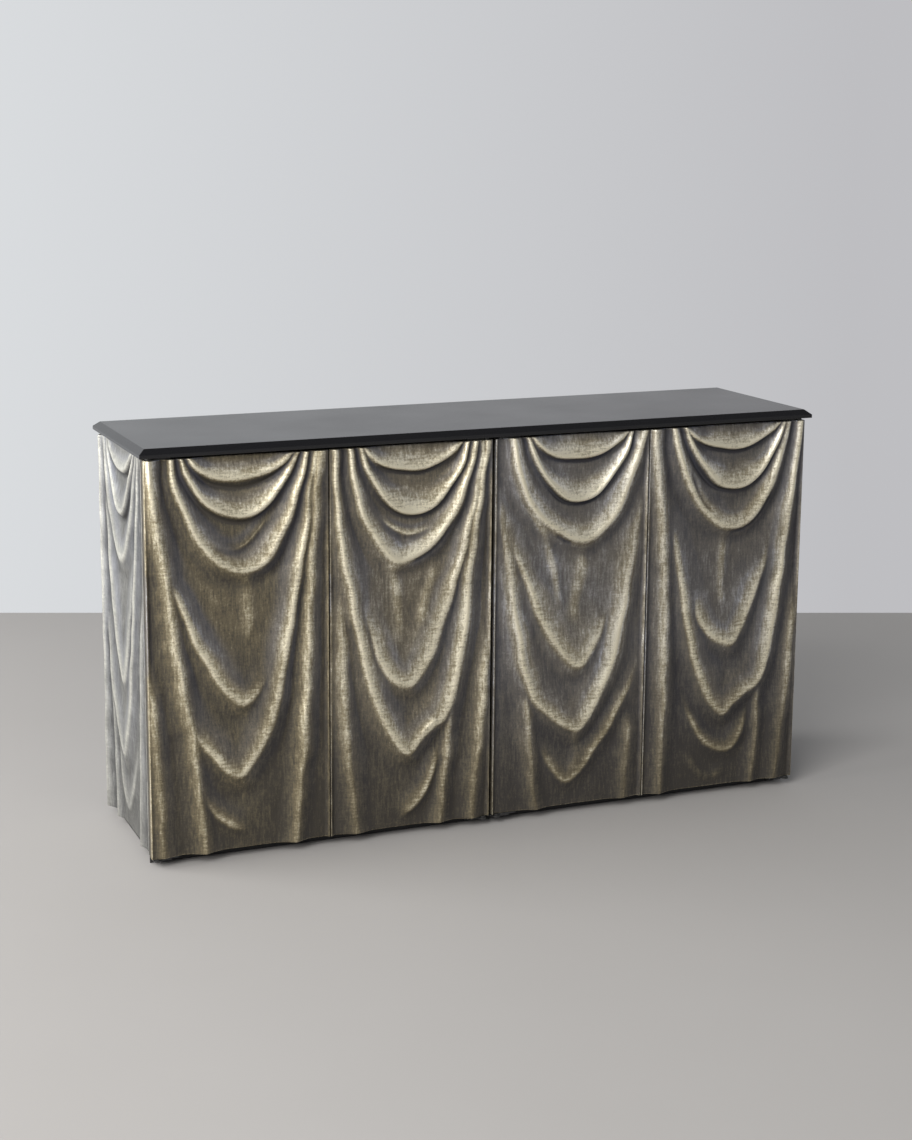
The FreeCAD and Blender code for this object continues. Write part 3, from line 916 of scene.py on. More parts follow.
        # Painted reflection: slate in the valley inside each crest, where the surface faces up to the pale
        # room.
        valley = np.minimum(cut.valley_place * inner, self.valley_reach)
        valley_reflection = fade * np.exp(-((distance + valley) / (cut.valley_width * valley)) ** 2)
        return FoldShape(lift, lowered, rubbed, shaded, valley_reflection)

    def undulation(
        self, across: np.ndarray, down: np.ndarray, shortest: float, source: np.random.Generator,
    ) -> np.ndarray:
        """Waves in many directions, which keep the folds from looking drawn.

        Args:
            across: Each place's distance from the left edge.
            down: Each place's distance from the top hem.
            shortest: The shortest wave's length.
            source: Where the directions and phases are drawn from.

        Returns:
            Heights, mostly within plus and minus one.
        """
        total = np.zeros(across.shape)
        for length in np.geomspace(self.longest_wave, shortest, self.wave_count):
            turn, phase = source.uniform(0.0, math.pi), source.uniform(0.0, math.tau)
            place = across * math.cos(turn) + down * math.sin(turn)
            total += (length / self.longest_wave) ** 0.5 * np.sin(math.tau * place / length + phase)
        return total / math.sqrt(0.5 * self.wave_count)

    def relief(self, across: np.ndarray, down: np.ndarray) -> tuple[np.ndarray, dict[str, np.ndarray]]:
        """Lays all the folds over each other.

        Args:
            across: Each place's distance from the left edge.
            down: Each place's distance from the top hem.

        Returns:
            The cloth's level over the board, where it is rubbed, where patina and painted shade darken it,
            and where the slate tint of painted shade and reflection goes.
        """
        source = np.random.default_rng(self.seed)
        warped_across = across + self.waver * self.undulation(across, down, self.shortest_waver, source)
        warped_down = down + self.waver * self.undulation(across, down, self.shortest_waver, source)
        wear_and_light = self.wear_and_light
        sharpness = 1.0 / self.join_round
        total = np.ones(across.shape)
        rubbed, lowered, creases, wrinkles, shaded, valley_reflection = (np.zeros(across.shape) for _ in range(6))
        for fold in self.folds:
            shape = self.fold_shape(fold, warped_across, warped_down)
            if fold.kind is FoldKind.CREASE:
                creases = np.maximum(creases, shape.lift)
                continue
            if fold.kind is FoldKind.WRINKLE:
                wrinkles = np.maximum(wrinkles, shape.lift)
                continue
            weight = np.exp(shape.lift * sharpness) - 1.0
            total += weight
            rubbed += weight * shape.rubbed
            lowered = np.maximum(lowered, shape.lowered)
            shaded = np.maximum(shaded, shape.shaded)
            valley_reflection = np.maximum(valley_reflection, shape.valley_reflection)
        rubbed /= total
        level = self.ground_level + np.log(total) / sharpness - lowered + wrinkles - creases
        level += self.ripple * self.undulation(across, down, self.shortest_ripple, source)
        rubbed = np.clip(rubbed + wear_and_light.wrinkle_rub * wrinkles / wear_and_light.wrinkle_height, 0.0, 1.0)
        # Darkened in the creases for their patina and painted shade, and by painted shade under the crests.
        patina_and_painted_shade = creases / wear_and_light.crease_depth + wear_and_light.shade_hollow * shaded * (1.0 - rubbed)
        patina_and_painted_shade = np.clip(patina_and_painted_shade, 0.0, 1.0)
        # The slate tint: painted reflection in the valleys, never less than the even wash, kept off rubbed
        # places.
        slate_wash_and_shade = np.maximum(wear_and_light.valley_reflection_share * self.slate_shade_share * valley_reflection, self.wash) * (1.0 - rubbed)
        return level, {"rubbed": rubbed, "patina_and_painted_shade": patina_and_painted_shade, "slate_wash_and_shade": slate_wash_and_shade}

    def with_edges(self, level: np.ndarray, side_edge: np.ndarray, edge: np.ndarray) -> np.ndarray:
        """Brings the cloth to one level at its sides and rounds all four edges.

        Args:
            level: The cloth's level over the board.
            side_edge: Each place's distance from the nearer side.
            edge: Each place's distance from the nearest edge.

        Returns:
            The level with its edges.
        """
        to_edge = eased(0.0, self.edge_reach, side_edge)
        level = self.edge_level * (1.0 - to_edge) + level * to_edge
        level = np.clip(level, self.lowest_level, self.highest_level)
        turn = np.clip(self.edge_round - edge, 0.0, self.edge_round)
        cut = self.edge_round - np.sqrt(self.edge_round ** 2 - turn ** 2)
        return np.maximum(level - cut, self.thinnest)

    def worn(
        self, level: np.ndarray, marks: dict[str, np.ndarray], columns: np.ndarray, rows: np.ndarray,
        edge: np.ndarray,
    ) -> dict[str, np.ndarray]:
        """What the finish reads at each place, from the relief and the folds' own marks, with the painted
        light and shade by slope and the painted highlights at the edges.

        Args:
            level: The cloth's level, rows down and columns across.
            marks: Where the folds leave it rubbed, where patina and painted shade darken it, and where the
                slate tint goes.
            columns: The grid's places across.
            rows: The grid's places down.
            edge: Each place's distance from the nearest edge.

        Returns:
            The marks with the rubbed brightness and painted light, and with the slate tint settled.
        """
        wear_and_light = self.wear_and_light
        down = np.meshgrid(columns, rows)[1]
        fine, broad = self.blurs
        smooth = softened(level, fine)
        crest = (level - smooth) / wear_and_light.crest_scale
        ridge = np.tanh((level - softened(level, broad)) / wear_and_light.ridge_scale)
        high = (level - wear_and_light.middle_level) / wear_and_light.level_range
        across_slope = np.gradient(smooth, columns, axis=1)
        down_slope = np.gradient(smooth, rows, axis=0)
        # Painted shade: slopes turned to the right, away from the light, take the slate tint.
        turned_away = eased(*wear_and_light.shaded_slope_range, -across_slope)
        slate_wash_and_shade = marks["slate_wash_and_shade"] + self.slate_shade_share * turned_away * (1.0 - wear_and_light.rubbed_warmth * marks["rubbed"])
        slate_wash_and_shade = np.clip(slate_wash_and_shade, 0.0, 1.0)
        # Painted light and shade by slope: slopes turned right are darkened and those turned left or up are
        # brightened, as if lit from the upper left.
        sideways = np.where(across_slope < 0.0, wear_and_light.painted_shade_facing_right, wear_and_light.painted_light_facing_left)
        painted_slope_light = sideways * np.tanh(across_slope / wear_and_light.slope_scale)
        painted_slope_light = painted_slope_light + wear_and_light.painted_light_facing_up * np.tanh(down_slope / wear_and_light.slope_scale)
        relief = wear_and_light.rubbed * marks["rubbed"] + wear_and_light.crest * crest + wear_and_light.ridge * ridge + wear_and_light.height * high
        relief = relief - wear_and_light.slate_wash_and_shade * slate_wash_and_shade + painted_slope_light
        foot = eased(wear_and_light.foot_start, 1.0, down / self.height)
        # Rubbed brightness plus the painted light and shade by slope, darker towards the bottom.
        polish_and_painted_light = wear_and_light.middle + self.brightness + self.contrast * relief * (1.0 - wear_and_light.foot_calm * foot)
        polish_and_painted_light = polish_and_painted_light - self.foot_shade * foot
        held = wear_and_light.knee + wear_and_light.headroom * np.tanh((polish_and_painted_light - wear_and_light.knee) / wear_and_light.knee)
        polish_and_painted_light = np.where(polish_and_painted_light > wear_and_light.knee, held, polish_and_painted_light)
        bright = eased(*wear_and_light.bright_places, polish_and_painted_light)
        warmth = (1.0 - wear_and_light.foot_warmth * foot) * (1.0 - wear_and_light.bright_warmth * bright)
        # Painted highlight: a bright line where the rolled top hem catches the light, and a bright rim on
        # every edge that is partly rubbed wear.
        hem = wear_and_light.hem_highlight * np.exp(-(down / wear_and_light.hem_width) ** 2)
        rim = wear_and_light.rim_wear_and_highlight * np.exp(-(edge / wear_and_light.rim_width) ** 2)
        polish_and_painted_light = np.maximum(polish_and_painted_light, np.maximum(hem, rim)).clip(0.0, 1.0)
        return {**marks, "slate_wash_and_shade": slate_wash_and_shade * warmth, "polish_and_painted_light": polish_and_painted_light}

    def shaped(self) -> tuple[np.ndarray, np.ndarray, np.ndarray, dict[str, np.ndarray]]:
        """The grid's places and levels, and its rubbing with painted light and shade.

        Returns:
            Places across, places down, levels as rows down and columns across, and what the finish reads.
        """
        columns, rows = self.spacing(self.width), self.spacing(self.height)
        across, down = np.meshgrid(columns, rows)
        level, marks = self.relief(across, down)
        side_edge = np.minimum(across, self.width - across)
        edge = np.minimum(side_edge, np.minimum(down, self.height - down))
        level = self.with_edges(level, side_edge, edge)
        return columns, rows, level, self.worn(level, marks, columns, rows, edge)

    def place(self, across: float, down: float, out: float) -> Place:
        """A point of the panel in the part's frame."""
        return tuple(self.corner + self.across * across + self.outward * out - Vector((0.0, 0.0, down)))

    def build(self) -> bpy.types.Object:
        """Makes the closed sheet: draped face, rounded edges, returns, rim and flat inner face.

        Returns:
            The skin in its finish.
        """
        columns, rows, level, grids = self.shaped()
        wide, tall = len(columns), len(rows)
        points = self.face_points(columns, rows, level)
        faces = []
        for row in range(tall - 1):
            first = row * wide
            faces += [(i, i + wide, i + wide + 1, i + 1) for i in range(first, first + wide - 1)]
        draped_faces = len(faces)
        loop = self.border(wide, tall)
        places = [(columns[index % wide], rows[index // wide]) for index in loop]
        back = self.edge_level - self.return_depth
        inset = self.sheet_thickness
        rings = [loop]
        for out, drawn_in in ((back, 0.0), (back, inset), (self.inner_level, inset)):
            start = len(points)
            for x, z in places:
                shrunk_x = drawn_in + x * (self.width - 2 * drawn_in) / self.width
                shrunk_z = drawn_in + z * (self.height - 2 * drawn_in) / self.height
                points.append(self.place(shrunk_x, shrunk_z, out))
            rings.append(list(range(start, len(points))))
        for near, far in zip(rings[:-1], rings[1:]):
            for index in range(len(loop)):
                following = (index + 1) % len(loop)
                faces.append((near[following], near[index], far[index], far[following]))
        faces += self.inner_face(rings[-1], wide, tall)
        mesh = bpy.data.meshes.new(self.name)
        mesh.from_pydata(points, [], faces)
        for key, behind in self.back_marks:
            self.set_attribute(mesh, key, grids[key], behind)
        for polygon in mesh.polygons:
            polygon.use_smooth = polygon.index < draped_faces
        return finished_object(self.name, mesh, self.finish)

    def face_points(self, columns: np.ndarray, rows: np.ndarray, level: np.ndarray) -> list[Place]:
        """The draped face's points in the part's frame.

        Args:
            columns: The grid's places across.
            rows: The grid's places down.
            level: The cloth's level, rows down and columns across.

        Returns:
            The points, row by row.
        """
        across, down = np.meshgrid(columns, rows)
        points = np.array(self.corner) + across[..., None] * np.array(self.across)
        points = points + level[..., None] * np.array(self.outward)
        points[..., 2] -= down
        return [tuple(point) for point in points.reshape(-1, 3)]

    @staticmethod
    def border(wide: int, tall: int) -> list[int]:
        """The grid's outermost points, down the left side, along the bottom, up the right side and back.

        Args:
            wide: How many columns the grid has.
            tall: How many rows it has.

        Returns:
            The points' numbers.
        """
        left = [row * wide for row in range(tall)]
        bottom = [(tall - 1) * wide + column for column in range(1, wide)]
        right = [row * wide + wide - 1 for row in range(tall - 2, -1, -1)]
        return left + bottom + right + list(range(wide - 2, 0, -1))

    @staticmethod
    def inner_face(ring: list[int], wide: int, tall: int) -> list[tuple[int, ...]]:
        """Closes the sheet behind its draped face with level strips.

        Args:
            ring: The inner rim's points, in the border's order.
            wide: How many columns the grid has.
            tall: How many rows it has.

        Returns:
            The strips' faces.
        """
        left = ring[:tall]
        bottom = ring[tall - 1:tall + wide - 1]
        right = list(reversed(ring[tall + wide - 2:2 * tall + wide - 2]))
        top = [ring[0]] + list(reversed(ring[2 * tall + wide - 3:]))
        strips = [(*top, right[1], left[1]), (left[-2], right[-2], *reversed(bottom))]
        return strips + [(left[i], right[i], right[i + 1], left[i + 1]) for i in range(1, tall - 2)]

    @staticmethod
    def set_attribute(mesh: bpy.types.Mesh, name: str, grid: np.ndarray, behind: float) -> None:
        """Stores one value a point.

        Args:
            mesh: The skin's mesh, whose first points are the grid's.
            name: The attribute's name.
            grid: The values on the draped face.
            behind: The value of all the points behind it.
        """
        values = np.full(len(mesh.vertices), behind, np.float32)
        values[:grid.size] = grid.ravel()
        mesh.attributes.new(name, "FLOAT", "POINT").data.foreach_set("value", values)


def finished_object(name: str, mesh: bpy.types.Mesh, finish: Finish) -> bpy.types.Object:
    """Makes an object at the origin that wears one finish.

    Args:
        name: The object's name.
        mesh: Its mesh, in the part's frame.
        finish: Its only finish.

    Returns:
        The object, linked to the scene.
    """
    made = bpy.data.objects.new(name, mesh)
    bpy.context.scene.collection.objects.link(made)
    made.data.materials.clear()
    made.data.materials.append(finish.material())
    return made


# The lines of the folds, panel by panel, as they hang in the photograph, in thousandths of the panel


LEFT_OUTER_FOLDS = (
    swag([(235, 0), (290, 28), (390, 50), (510, 56), (640, 47), (740, 24), (800, 0)],
         9.5, 9, 34, 17, rub=19),
    crease([(210, 0), (300, 52), (400, 73), (510, 80), (620, 73), (720, 50), (810, 0)], 2.6, 4.5),
    swag([(195, 0), (235, 45), (300, 97), (400, 136), (510, 149), (620, 134), (720, 88), (830, 0)],
         11.5, 9, 50, 20, rub=32),
    crease([(170, 20), (240, 85), (330, 135), (420, 160), (510, 167), (600, 158), (700, 115), (800, 40)],
           2.4, 5.0),
    swag([(200, 120), (280, 178), (370, 213), (470, 228), (560, 213), (650, 165), (720, 120)],
         2.6, 8, 26, 10, 1.0, 1),
    swag([(140, 0), (165, 70), (210, 135), (270, 190), (340, 238), (430, 272), (530, 284), (630, 270),
          (710, 225), (780, 155), (840, 75), (880, 0)], 12.0, 13, 56, 34, 3.0, 16),
    swag([(55, 160), (80, 225), (105, 280), (150, 325), (187, 365), (227, 414), (268, 464), (325, 514),
          (390, 564), (470, 607), (520, 621), (570, 607), (633, 564), (666, 500), (700, 420)],
         9.5, 13, 100, 48),
    pleat([(15, 0), (35, 80), (60, 160), (88, 250), (110, 310), (130, 380), (150, 450), (170, 530),
           (200, 610), (235, 690), (250, 770), (265, 860), (285, 950), (300, 1000)], 12.5, 21),
    swag([(165, 510), (180, 560), (205, 620), (250, 690), (330, 740), (410, 785), (500, 804), (570, 765),
          (640, 705), (700, 630), (730, 560), (755, 500), (780, 430), (810, 340), (850, 240), (890, 120),
          (930, 0)], 12.0, 16, 85, 50),
    pleat([(965, 0), (930, 130), (905, 280), (885, 450), (868, 620), (840, 800), (800, 1000)], 12.0, 20),
    swag([(245, 730), (258, 790), (290, 850), (340, 895), (410, 925), (490, 948), (580, 955)],
         6.5, 13, 45, 28, 1.0),
    pleat([(0, 450), (30, 680), (55, 850), (60, 1000)], 7.5, 20),
    wrinkle([(520, 280), (550, 340), (560, 400), (540, 480)], 2.2, 14),
    wrinkle([(300, 720), (360, 745), (420, 785)], 1.6, 9),
    wrinkle([(880, 620), (855, 720), (840, 800)], 1.6, 12),
)
LEFT_INNER_FOLDS = (
    swag([(200, 0), (280, 33), (390, 54), (500, 61), (610, 55), (710, 34), (810, 0)],
         9.5, 9, 36, 13, rub=42),
    crease([(200, 0), (290, 44), (390, 65), (500, 72), (610, 65), (710, 45), (810, 3)], 3.6, 3.6),
    swag([(180, 0), (230, 60), (310, 118), (400, 156), (500, 171), (600, 163), (700, 130), (790, 70),
          (850, 0)], 12.0, 9, 58, 15, rub=35),
    crease([(210, 70), (300, 132), (400, 169), (500, 183), (610, 173), (710, 138), (800, 78), (850, 20)],
           2.8, 4.2),
    swag([(250, 140), (330, 192), (420, 218), (520, 225), (620, 210), (730, 160)],
         3.6, 8, 22, 13, 1.0, 5),
    swag([(120, 0), (155, 100), (210, 175), (280, 236), (360, 275), (430, 290), (520, 282), (610, 262),
          (700, 222), (790, 150), (860, 65), (900, 0)], 12.0, 13, 52, 34, 3.0, 18),
    crease([(480, 296), (550, 291), (630, 272), (710, 235), (770, 190)], 2.4, 4.5),
    swag([(130, 220), (180, 330), (230, 440), (290, 530), (360, 590), (430, 614), (500, 612), (570, 575),
          (640, 515), (710, 430), (780, 335), (850, 220), (920, 90), (940, 0)], 10.5, 13, 110, 50),
    swag([(30, 0), (50, 180), (100, 320), (155, 440), (210, 555), (280, 660), (370, 745), (470, 797),
          (550, 765), (630, 735), (700, 712), (765, 640), (820, 510), (860, 340), (910, 180), (975, 0)],
         12.5, 17, 80, 48),
    pleat([(755, 620), (738, 740), (705, 870), (680, 1000)], 9.0, 17),
    swag([(400, 972), (470, 958), (530, 935), (600, 890), (650, 820), (680, 750)], 6.5, 12, 50, 26, 1.0),
    pleat([(50, 250), (70, 450), (85, 650), (110, 800), (135, 920), (155, 1000)], 10.0, 22),
    pleat([(985, 450), (965, 620), (935, 770), (900, 900), (880, 1000)], 10.0, 19),
    wrinkle([(360, 280), (400, 340), (420, 420), (430, 520)], 2.4, 14),
    wrinkle([(660, 290), (620, 350), (570, 410), (550, 480)], 2.2, 12),
    wrinkle([(550, 765), (610, 735), (660, 715)], 1.6, 7),
)
RIGHT_INNER_FOLDS = (
    swag([(230, 0), (300, 28), (420, 54), (550, 62), (680, 50), (780, 26), (850, 0)],
         10.0, 9, 38, 12, rub=42),
    crease([(220, 0), (310, 40), (420, 64), (550, 73), (680, 62), (790, 30), (850, 0)], 4.2, 3.4),
    swag([(200, 0), (260, 60), (340, 120), (430, 156), (540, 171), (650, 158), (750, 115), (840, 50),
          (880, 0)], 12.5, 9, 46, 12, rub=30),
    crease([(190, 35), (300, 112), (400, 160), (500, 180), (600, 180), (700, 150), (800, 94), (880, 20)],
           4.2, 3.6),
    swag([(110, 0), (155, 100), (220, 165), (310, 215), (420, 254), (530, 274), (630, 272), (720, 245),
          (800, 200), (860, 140), (910, 80), (980, 0)], 12.0, 17, 50, 34, 2.0, 20),
    crease([(380, 258), (440, 278), (510, 290)], 2.2, 5.0),
    swag([(50, 100), (100, 240), (170, 330), (240, 410), (320, 490), (400, 550), (480, 592), (560, 612),
          (630, 580), (690, 530), (735, 480), (770, 420)], 9.5, 16, 110, 55),
    swag([(0, 30), (16, 107), (50, 200), (80, 286), (105, 370), (130, 457), (160, 530), (187, 600),
          (235, 664), (290, 707), (370, 742), (460, 772), (550, 785), (620, 750), (690, 700), (755, 640),
          (800, 570), (845, 480), (880, 390), (910, 310), (945, 230), (980, 150), (1000, 80)],
         12.5, 18, 80, 50, 2.0, 20),
    pleat([(190, 600), (220, 720), (245, 840), (265, 940), (285, 1000)], 9.0, 20),
    swag([(270, 740), (320, 830), (390, 890), (480, 930), (570, 905), (660, 855), (760, 795), (850, 730),
          (920, 660), (1000, 560)], 7.0, 15, 55, 34, 1.0),
    pleat([(910, 740), (890, 880), (870, 1000)], 7.0, 20),
    wrinkle([(200, 170), (280, 230), (360, 310), (410, 400), (430, 470)], 2.0, 10),
    wrinkle([(575, 280), (565, 360), (540, 440), (520, 520)], 2.0, 15),
    wrinkle([(530, 780), (550, 850), (500, 930)], 1.8, 12),
)
RIGHT_OUTER_FOLDS = (
    swag([(220, 0), (300, 30), (410, 53), (540, 61), (650, 52), (750, 28), (830, 0)],
         10.0, 9, 38, 12, rub=42),
    crease([(210, 0), (300, 38), (410, 63), (540, 71), (650, 62), (750, 38), (830, 0)], 4.0, 3.6),
    swag([(220, 0), (260, 45), (330, 100), (420, 146), (500, 165), (580, 167), (660, 152), (730, 120),
          (800, 66), (860, 0)], 12.5, 9, 56, 13, rub=35),
    crease([(200, 20), (290, 104), (380, 150), (480, 173), (580, 176), (670, 158), (770, 110), (860, 20)],
           3.0, 4.0),
    swag([(150, 0), (200, 90), (270, 165), (350, 222), (440, 262), (540, 274), (630, 266), (710, 228),
          (780, 170), (840, 95), (890, 0)], 12.0, 15, 48, 30, 2.5, 20),
    crease([(250, 110), (330, 190), (420, 243)], 2.4, 4.5),
    crease([(500, 287), (580, 288), (670, 270), (750, 225), (810, 170)], 2.0, 4.5),
    swag([(270, 350), (300, 430), (325, 486), (357, 529), (420, 571), (490, 589), (560, 593), (600, 564),
          (650, 514), (700, 457), (747, 400), (795, 314), (850, 210)], 9.5, 14, 110, 48),
    swag([(70, 100), (120, 210), (175, 310), (220, 420), (260, 525), (320, 635), (400, 730), (500, 787),
          (570, 762), (650, 735), (740, 712), (795, 640), (845, 486), (885, 320), (940, 140), (975, 0)],
         12.0, 17, 80, 48),
    swag([(235, 680), (275, 757), (310, 800), (370, 850), (455, 886), (540, 900), (600, 885), (645, 840),
          (675, 785), (700, 720)], 6.5, 14, 45, 32, 1.0),
    pleat([(765, 660), (745, 780), (735, 900), (715, 1000)], 8.0, 16),
    pleat([(30, 0), (50, 100), (75, 200), (100, 320), (115, 440), (120, 600), (120, 760), (115, 880),
           (110, 1000)], 11.0, 20),
    pleat([(985, 380), (955, 580), (930, 760), (900, 900), (880, 1000)], 8.0, 20),
    wrinkle([(480, 270), (490, 340), (480, 440), (490, 500)], 2.2, 13),
    wrinkle([(280, 870), (360, 950), (460, 970), (580, 940)], 2.4, 13),
)
SIDE_FOLDS = (
    swag([(200, 0), (280, 28), (400, 52), (510, 58), (620, 52), (730, 28), (800, 0)],
         8.0, 9, 36, 15, 1.5, 14),
    crease([(200, 0), (300, 44), (400, 64), (510, 70), (620, 64), (730, 40), (800, 0)], 3.0, 4.2),
    swag([(170, 0), (240, 60), (320, 118), (410, 158), (500, 168), (600, 155), (700, 105), (790, 45),
          (840, 0)], 10.0, 10, 62, 20, 1.5, 16),
    crease([(190, 30), (280, 100), (370, 155), (460, 182), (540, 182), (630, 160), (730, 105), (810, 40)],
           3.0, 4.6),
    swag([(90, 0), (140, 90), (220, 175), (320, 238), (420, 278), (520, 285), (620, 262), (730, 190),
          (820, 100), (890, 0)], 9.0, 24, 66, 46, 1.0),
    crease([(200, 180), (330, 255), (460, 308)], 2.0, 6.0),
    swag([(0, 30), (40, 100), (100, 170), (165, 240), (220, 340), (270, 420), (320, 490), (400, 560),
          (500, 605), (570, 575), (630, 500), (700, 370), (770, 230), (830, 80)],
         9.5, 20, 110, 60, 1.0, 18),
    crease([(560, 600), (640, 530), (700, 420), (770, 280), (830, 140)], 2.2, 8.0),
    swag([(0, 240), (40, 350), (80, 450), (140, 570), (220, 660), (320, 735), (420, 785), (490, 800),
          (550, 755), (630, 680), (730, 500), (800, 370), (860, 250), (910, 110), (940, 0)],
         9.5, 20, 90, 60, 1.0, 16),
    swag([(220, 680), (290, 800), (380, 900), (500, 940), (600, 900), (690, 820), (760, 700)],
         5.0, 22, 60, 40, 0.6),
    pleat([(45, 0), (40, 300), (50, 550), (45, 800), (45, 1000)], 14.0, 15),
    pleat([(160, 550), (200, 700), (230, 850), (260, 1000)], 9.0, 18),
    crease([(100, 500), (130, 660), (155, 800), (165, 990)], 2.4, 7.0),
    pleat([(960, 300), (930, 500), (880, 750), (830, 1000)], 8.0, 19),
)


# Sub-assemblies


class Side(Enum):
    """Left or right, as the viewer in front of the cabinet sees it."""

    LEFT = "left"
    RIGHT = "right"


def mirrored(folds: Sequence[Fold]) -> tuple[Fold, ...]:
    """The same folds for the other end of the cabinet, each still read from its left."""
    lines = [tuple((PANEL_PARTS - x, z) for x, z in reversed(fold.points)) for fold in folds]
    return tuple(replace(fold, points=line) for fold, line in zip(folds, lines))


def dressed(node: str, finish: Finish) -> None:
    """Gives a carried-over solid its finish.

    Args:
        node: The solid's node.
        finish: Its only finish.
    """
    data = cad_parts[node].data
    data.materials.clear()
    data.materials.append(finish.material())


@dataclass
class ScrewRow:
    """A row of pan head screws, made with geometry nodes.

    The heads stand along a line, with their tops towards `out`. Each has a straight wall and a crown.
    """

    start: Vector
    end: Vector
    count: int
    out: Vector
    head_radius: float = 3.6 * MILLIMETRE
    head_height: float = 1.6 * MILLIMETRE
    wall_share: float = 0.55
    crown_share: float = 0.62
    corners: int = 20

    def mesh(self, name: str) -> bpy.types.Mesh:
        """Makes the row as a plain mesh.

        Args:
            name: The name of the mesh and of what is made on the way.

        Returns:
            A mesh with every head in its place.
        """
        holder = bpy.data.objects.new(name, bpy.data.meshes.new(name))
        bpy.context.scene.collection.objects.link(holder)
        modifier = holder.modifiers.new("screws", "NODES")
        modifier.node_group = self.tree()
        turn = self.out.to_track_quat("Z", "Y").to_euler()
        values = {
            "Start": self.start, "End": self.end, "Count": self.count, "Turn": turn, "Corners": self.corners,
            "Head Radius": self.head_radius, "Wall Height": self.wall_share * self.head_height,
            "Crown Height": (1.0 - self.wall_share) * self.head_height, "Crown Share": self.crown_share,
        }
        for item in modifier.node_group.interface.items_tree:
            if item.item_type == "SOCKET" and item.in_out == "INPUT":
                value = values[item.name]
                modifier[item.identifier] = value if isinstance(value, (int, float)) else tuple(value)
        evaluated = holder.evaluated_get(bpy.context.evaluated_depsgraph_get())
        made = bpy.data.meshes.new_from_object(evaluated)
        bpy.data.objects.remove(holder)
        return made

    @staticmethod
    def tree() -> bpy.types.NodeTree:
        """Finds the geometry nodes, or makes them: a domed head on each point of a line, in real meshes.

        Returns:
            The node tree that every row shares.
        """
        found = bpy.data.node_groups.get("screw_row")
        if found is not None:
            return found
        tree = bpy.data.node_groups.new("screw_row", "GeometryNodeTree")
        tree.interface.new_socket("Geometry", in_out="OUTPUT", socket_type="NodeSocketGeometry")
        kinds = {
            "NodeSocketVector": ("Start", "End", "Turn"), "NodeSocketInt": ("Count", "Corners"),
            "NodeSocketFloat": ("Head Radius", "Wall Height", "Crown Height", "Crown Share"),
        }
        for kind, names in kinds.items():
            for name in names:
                tree.interface.new_socket(name, in_out="INPUT", socket_type=kind)
        given = tree.nodes.new("NodeGroupInput").outputs

        def step(kind: str, settings: dict, inputs: dict) -> Outputs:
            """Adds one node.

            Args:
                kind: The node's type.
                settings: Its own settings.
                inputs: A value or a socket for each of its inputs.

            Returns:
                The node's outputs.
            """
            made = tree.nodes.new(kind)
            for key, value in settings.items():
                setattr(made, key, value)
            for key, value in inputs.items():
                if isinstance(value, Socket):
                    tree.links.new(value, made.inputs[key])
                else:
                    made.inputs[key].default_value = value
            return made.outputs

        def raised(part: Outputs, shape: Socket, height: str) -> Socket:
            """Moves the top faces of an extruded part up.

            Args:
                part: The extruding node's outputs.
                shape: The shape as it is.
                height: The name of the tree's input that says how far.

            Returns:
                The raised shape.
            """
            lift = step("ShaderNodeCombineXYZ", {}, {"Z": given[height]})[0]
            moved = {"Geometry": shape, "Selection": part["Top"], "Offset": lift}
            return step("GeometryNodeSetPosition", {}, moved)["Geometry"]

        line = {"Count": given["Count"], "Start Location": given["Start"], "Offset": given["End"]}
        points = step("GeometryNodeMeshLine", {"mode": "END_POINTS"}, line)["Mesh"]
        circle = {"Vertices": given["Corners"], "Radius": given["Head Radius"]}
        rim = step("GeometryNodeMeshCircle", {"fill_type": "NGON"}, circle)["Mesh"]
        wall = step("GeometryNodeExtrudeMesh", {"mode": "FACES"}, {"Mesh": rim, "Offset Scale": 0.0})
        drum = raised(wall, wall["Mesh"], "Wall Height")
        on_top = {"Mesh": drum, "Selection": wall["Top"], "Offset Scale": 0.0}
        crown = step("GeometryNodeExtrudeMesh", {"mode": "FACES"}, on_top)
        drawn_in = {"Geometry": crown["Mesh"], "Selection": crown["Top"], "Scale": given["Crown Share"]}
        domed = step("GeometryNodeScaleElements", {"domain": "FACE"}, drawn_in)["Geometry"]
        head = raised(crown, domed, "Crown Height")
        placed = {"Points": points, "Instance": head, "Rotation": given["Turn"]}
        heads = step("GeometryNodeInstanceOnPoints", {}, placed)["Instances"]
        real = step("GeometryNodeRealizeInstances", {}, {"Geometry": heads})["Geometry"]
        worn = {"Geometry": real, "Material": ZINC_STEEL.material()}
        finished = step("GeometryNodeSetMaterial", {}, worn)["Geometry"]
        tree.links.new(finished, tree.nodes.new("NodeGroupOutput").inputs[0])
        return tree


def screws(name: str, rows: Sequence[ScrewRow], body: str) -> bpy.types.Object:
    """Makes one piece from several rows of screws.

    Args:
        name: The piece's name.
        rows: The rows.
        body: The body that they ride on.

    Returns:
        The piece.
    """
    joined = bmesh.new()
    for index, row in enumerate(rows):
        mesh = row.mesh(f"{name}_{index}")
        joined.from_mesh(mesh)
        bpy.data.meshes.remove(mesh)
    bmesh.ops.recalc_face_normals(joined, faces=joined.faces)
    mesh = bpy.data.meshes.new(name)
    joined.to_mesh(mesh)
    joined.free()
    made = finished_object(name, mesh, ZINC_STEEL)
    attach(made, body)
    return made


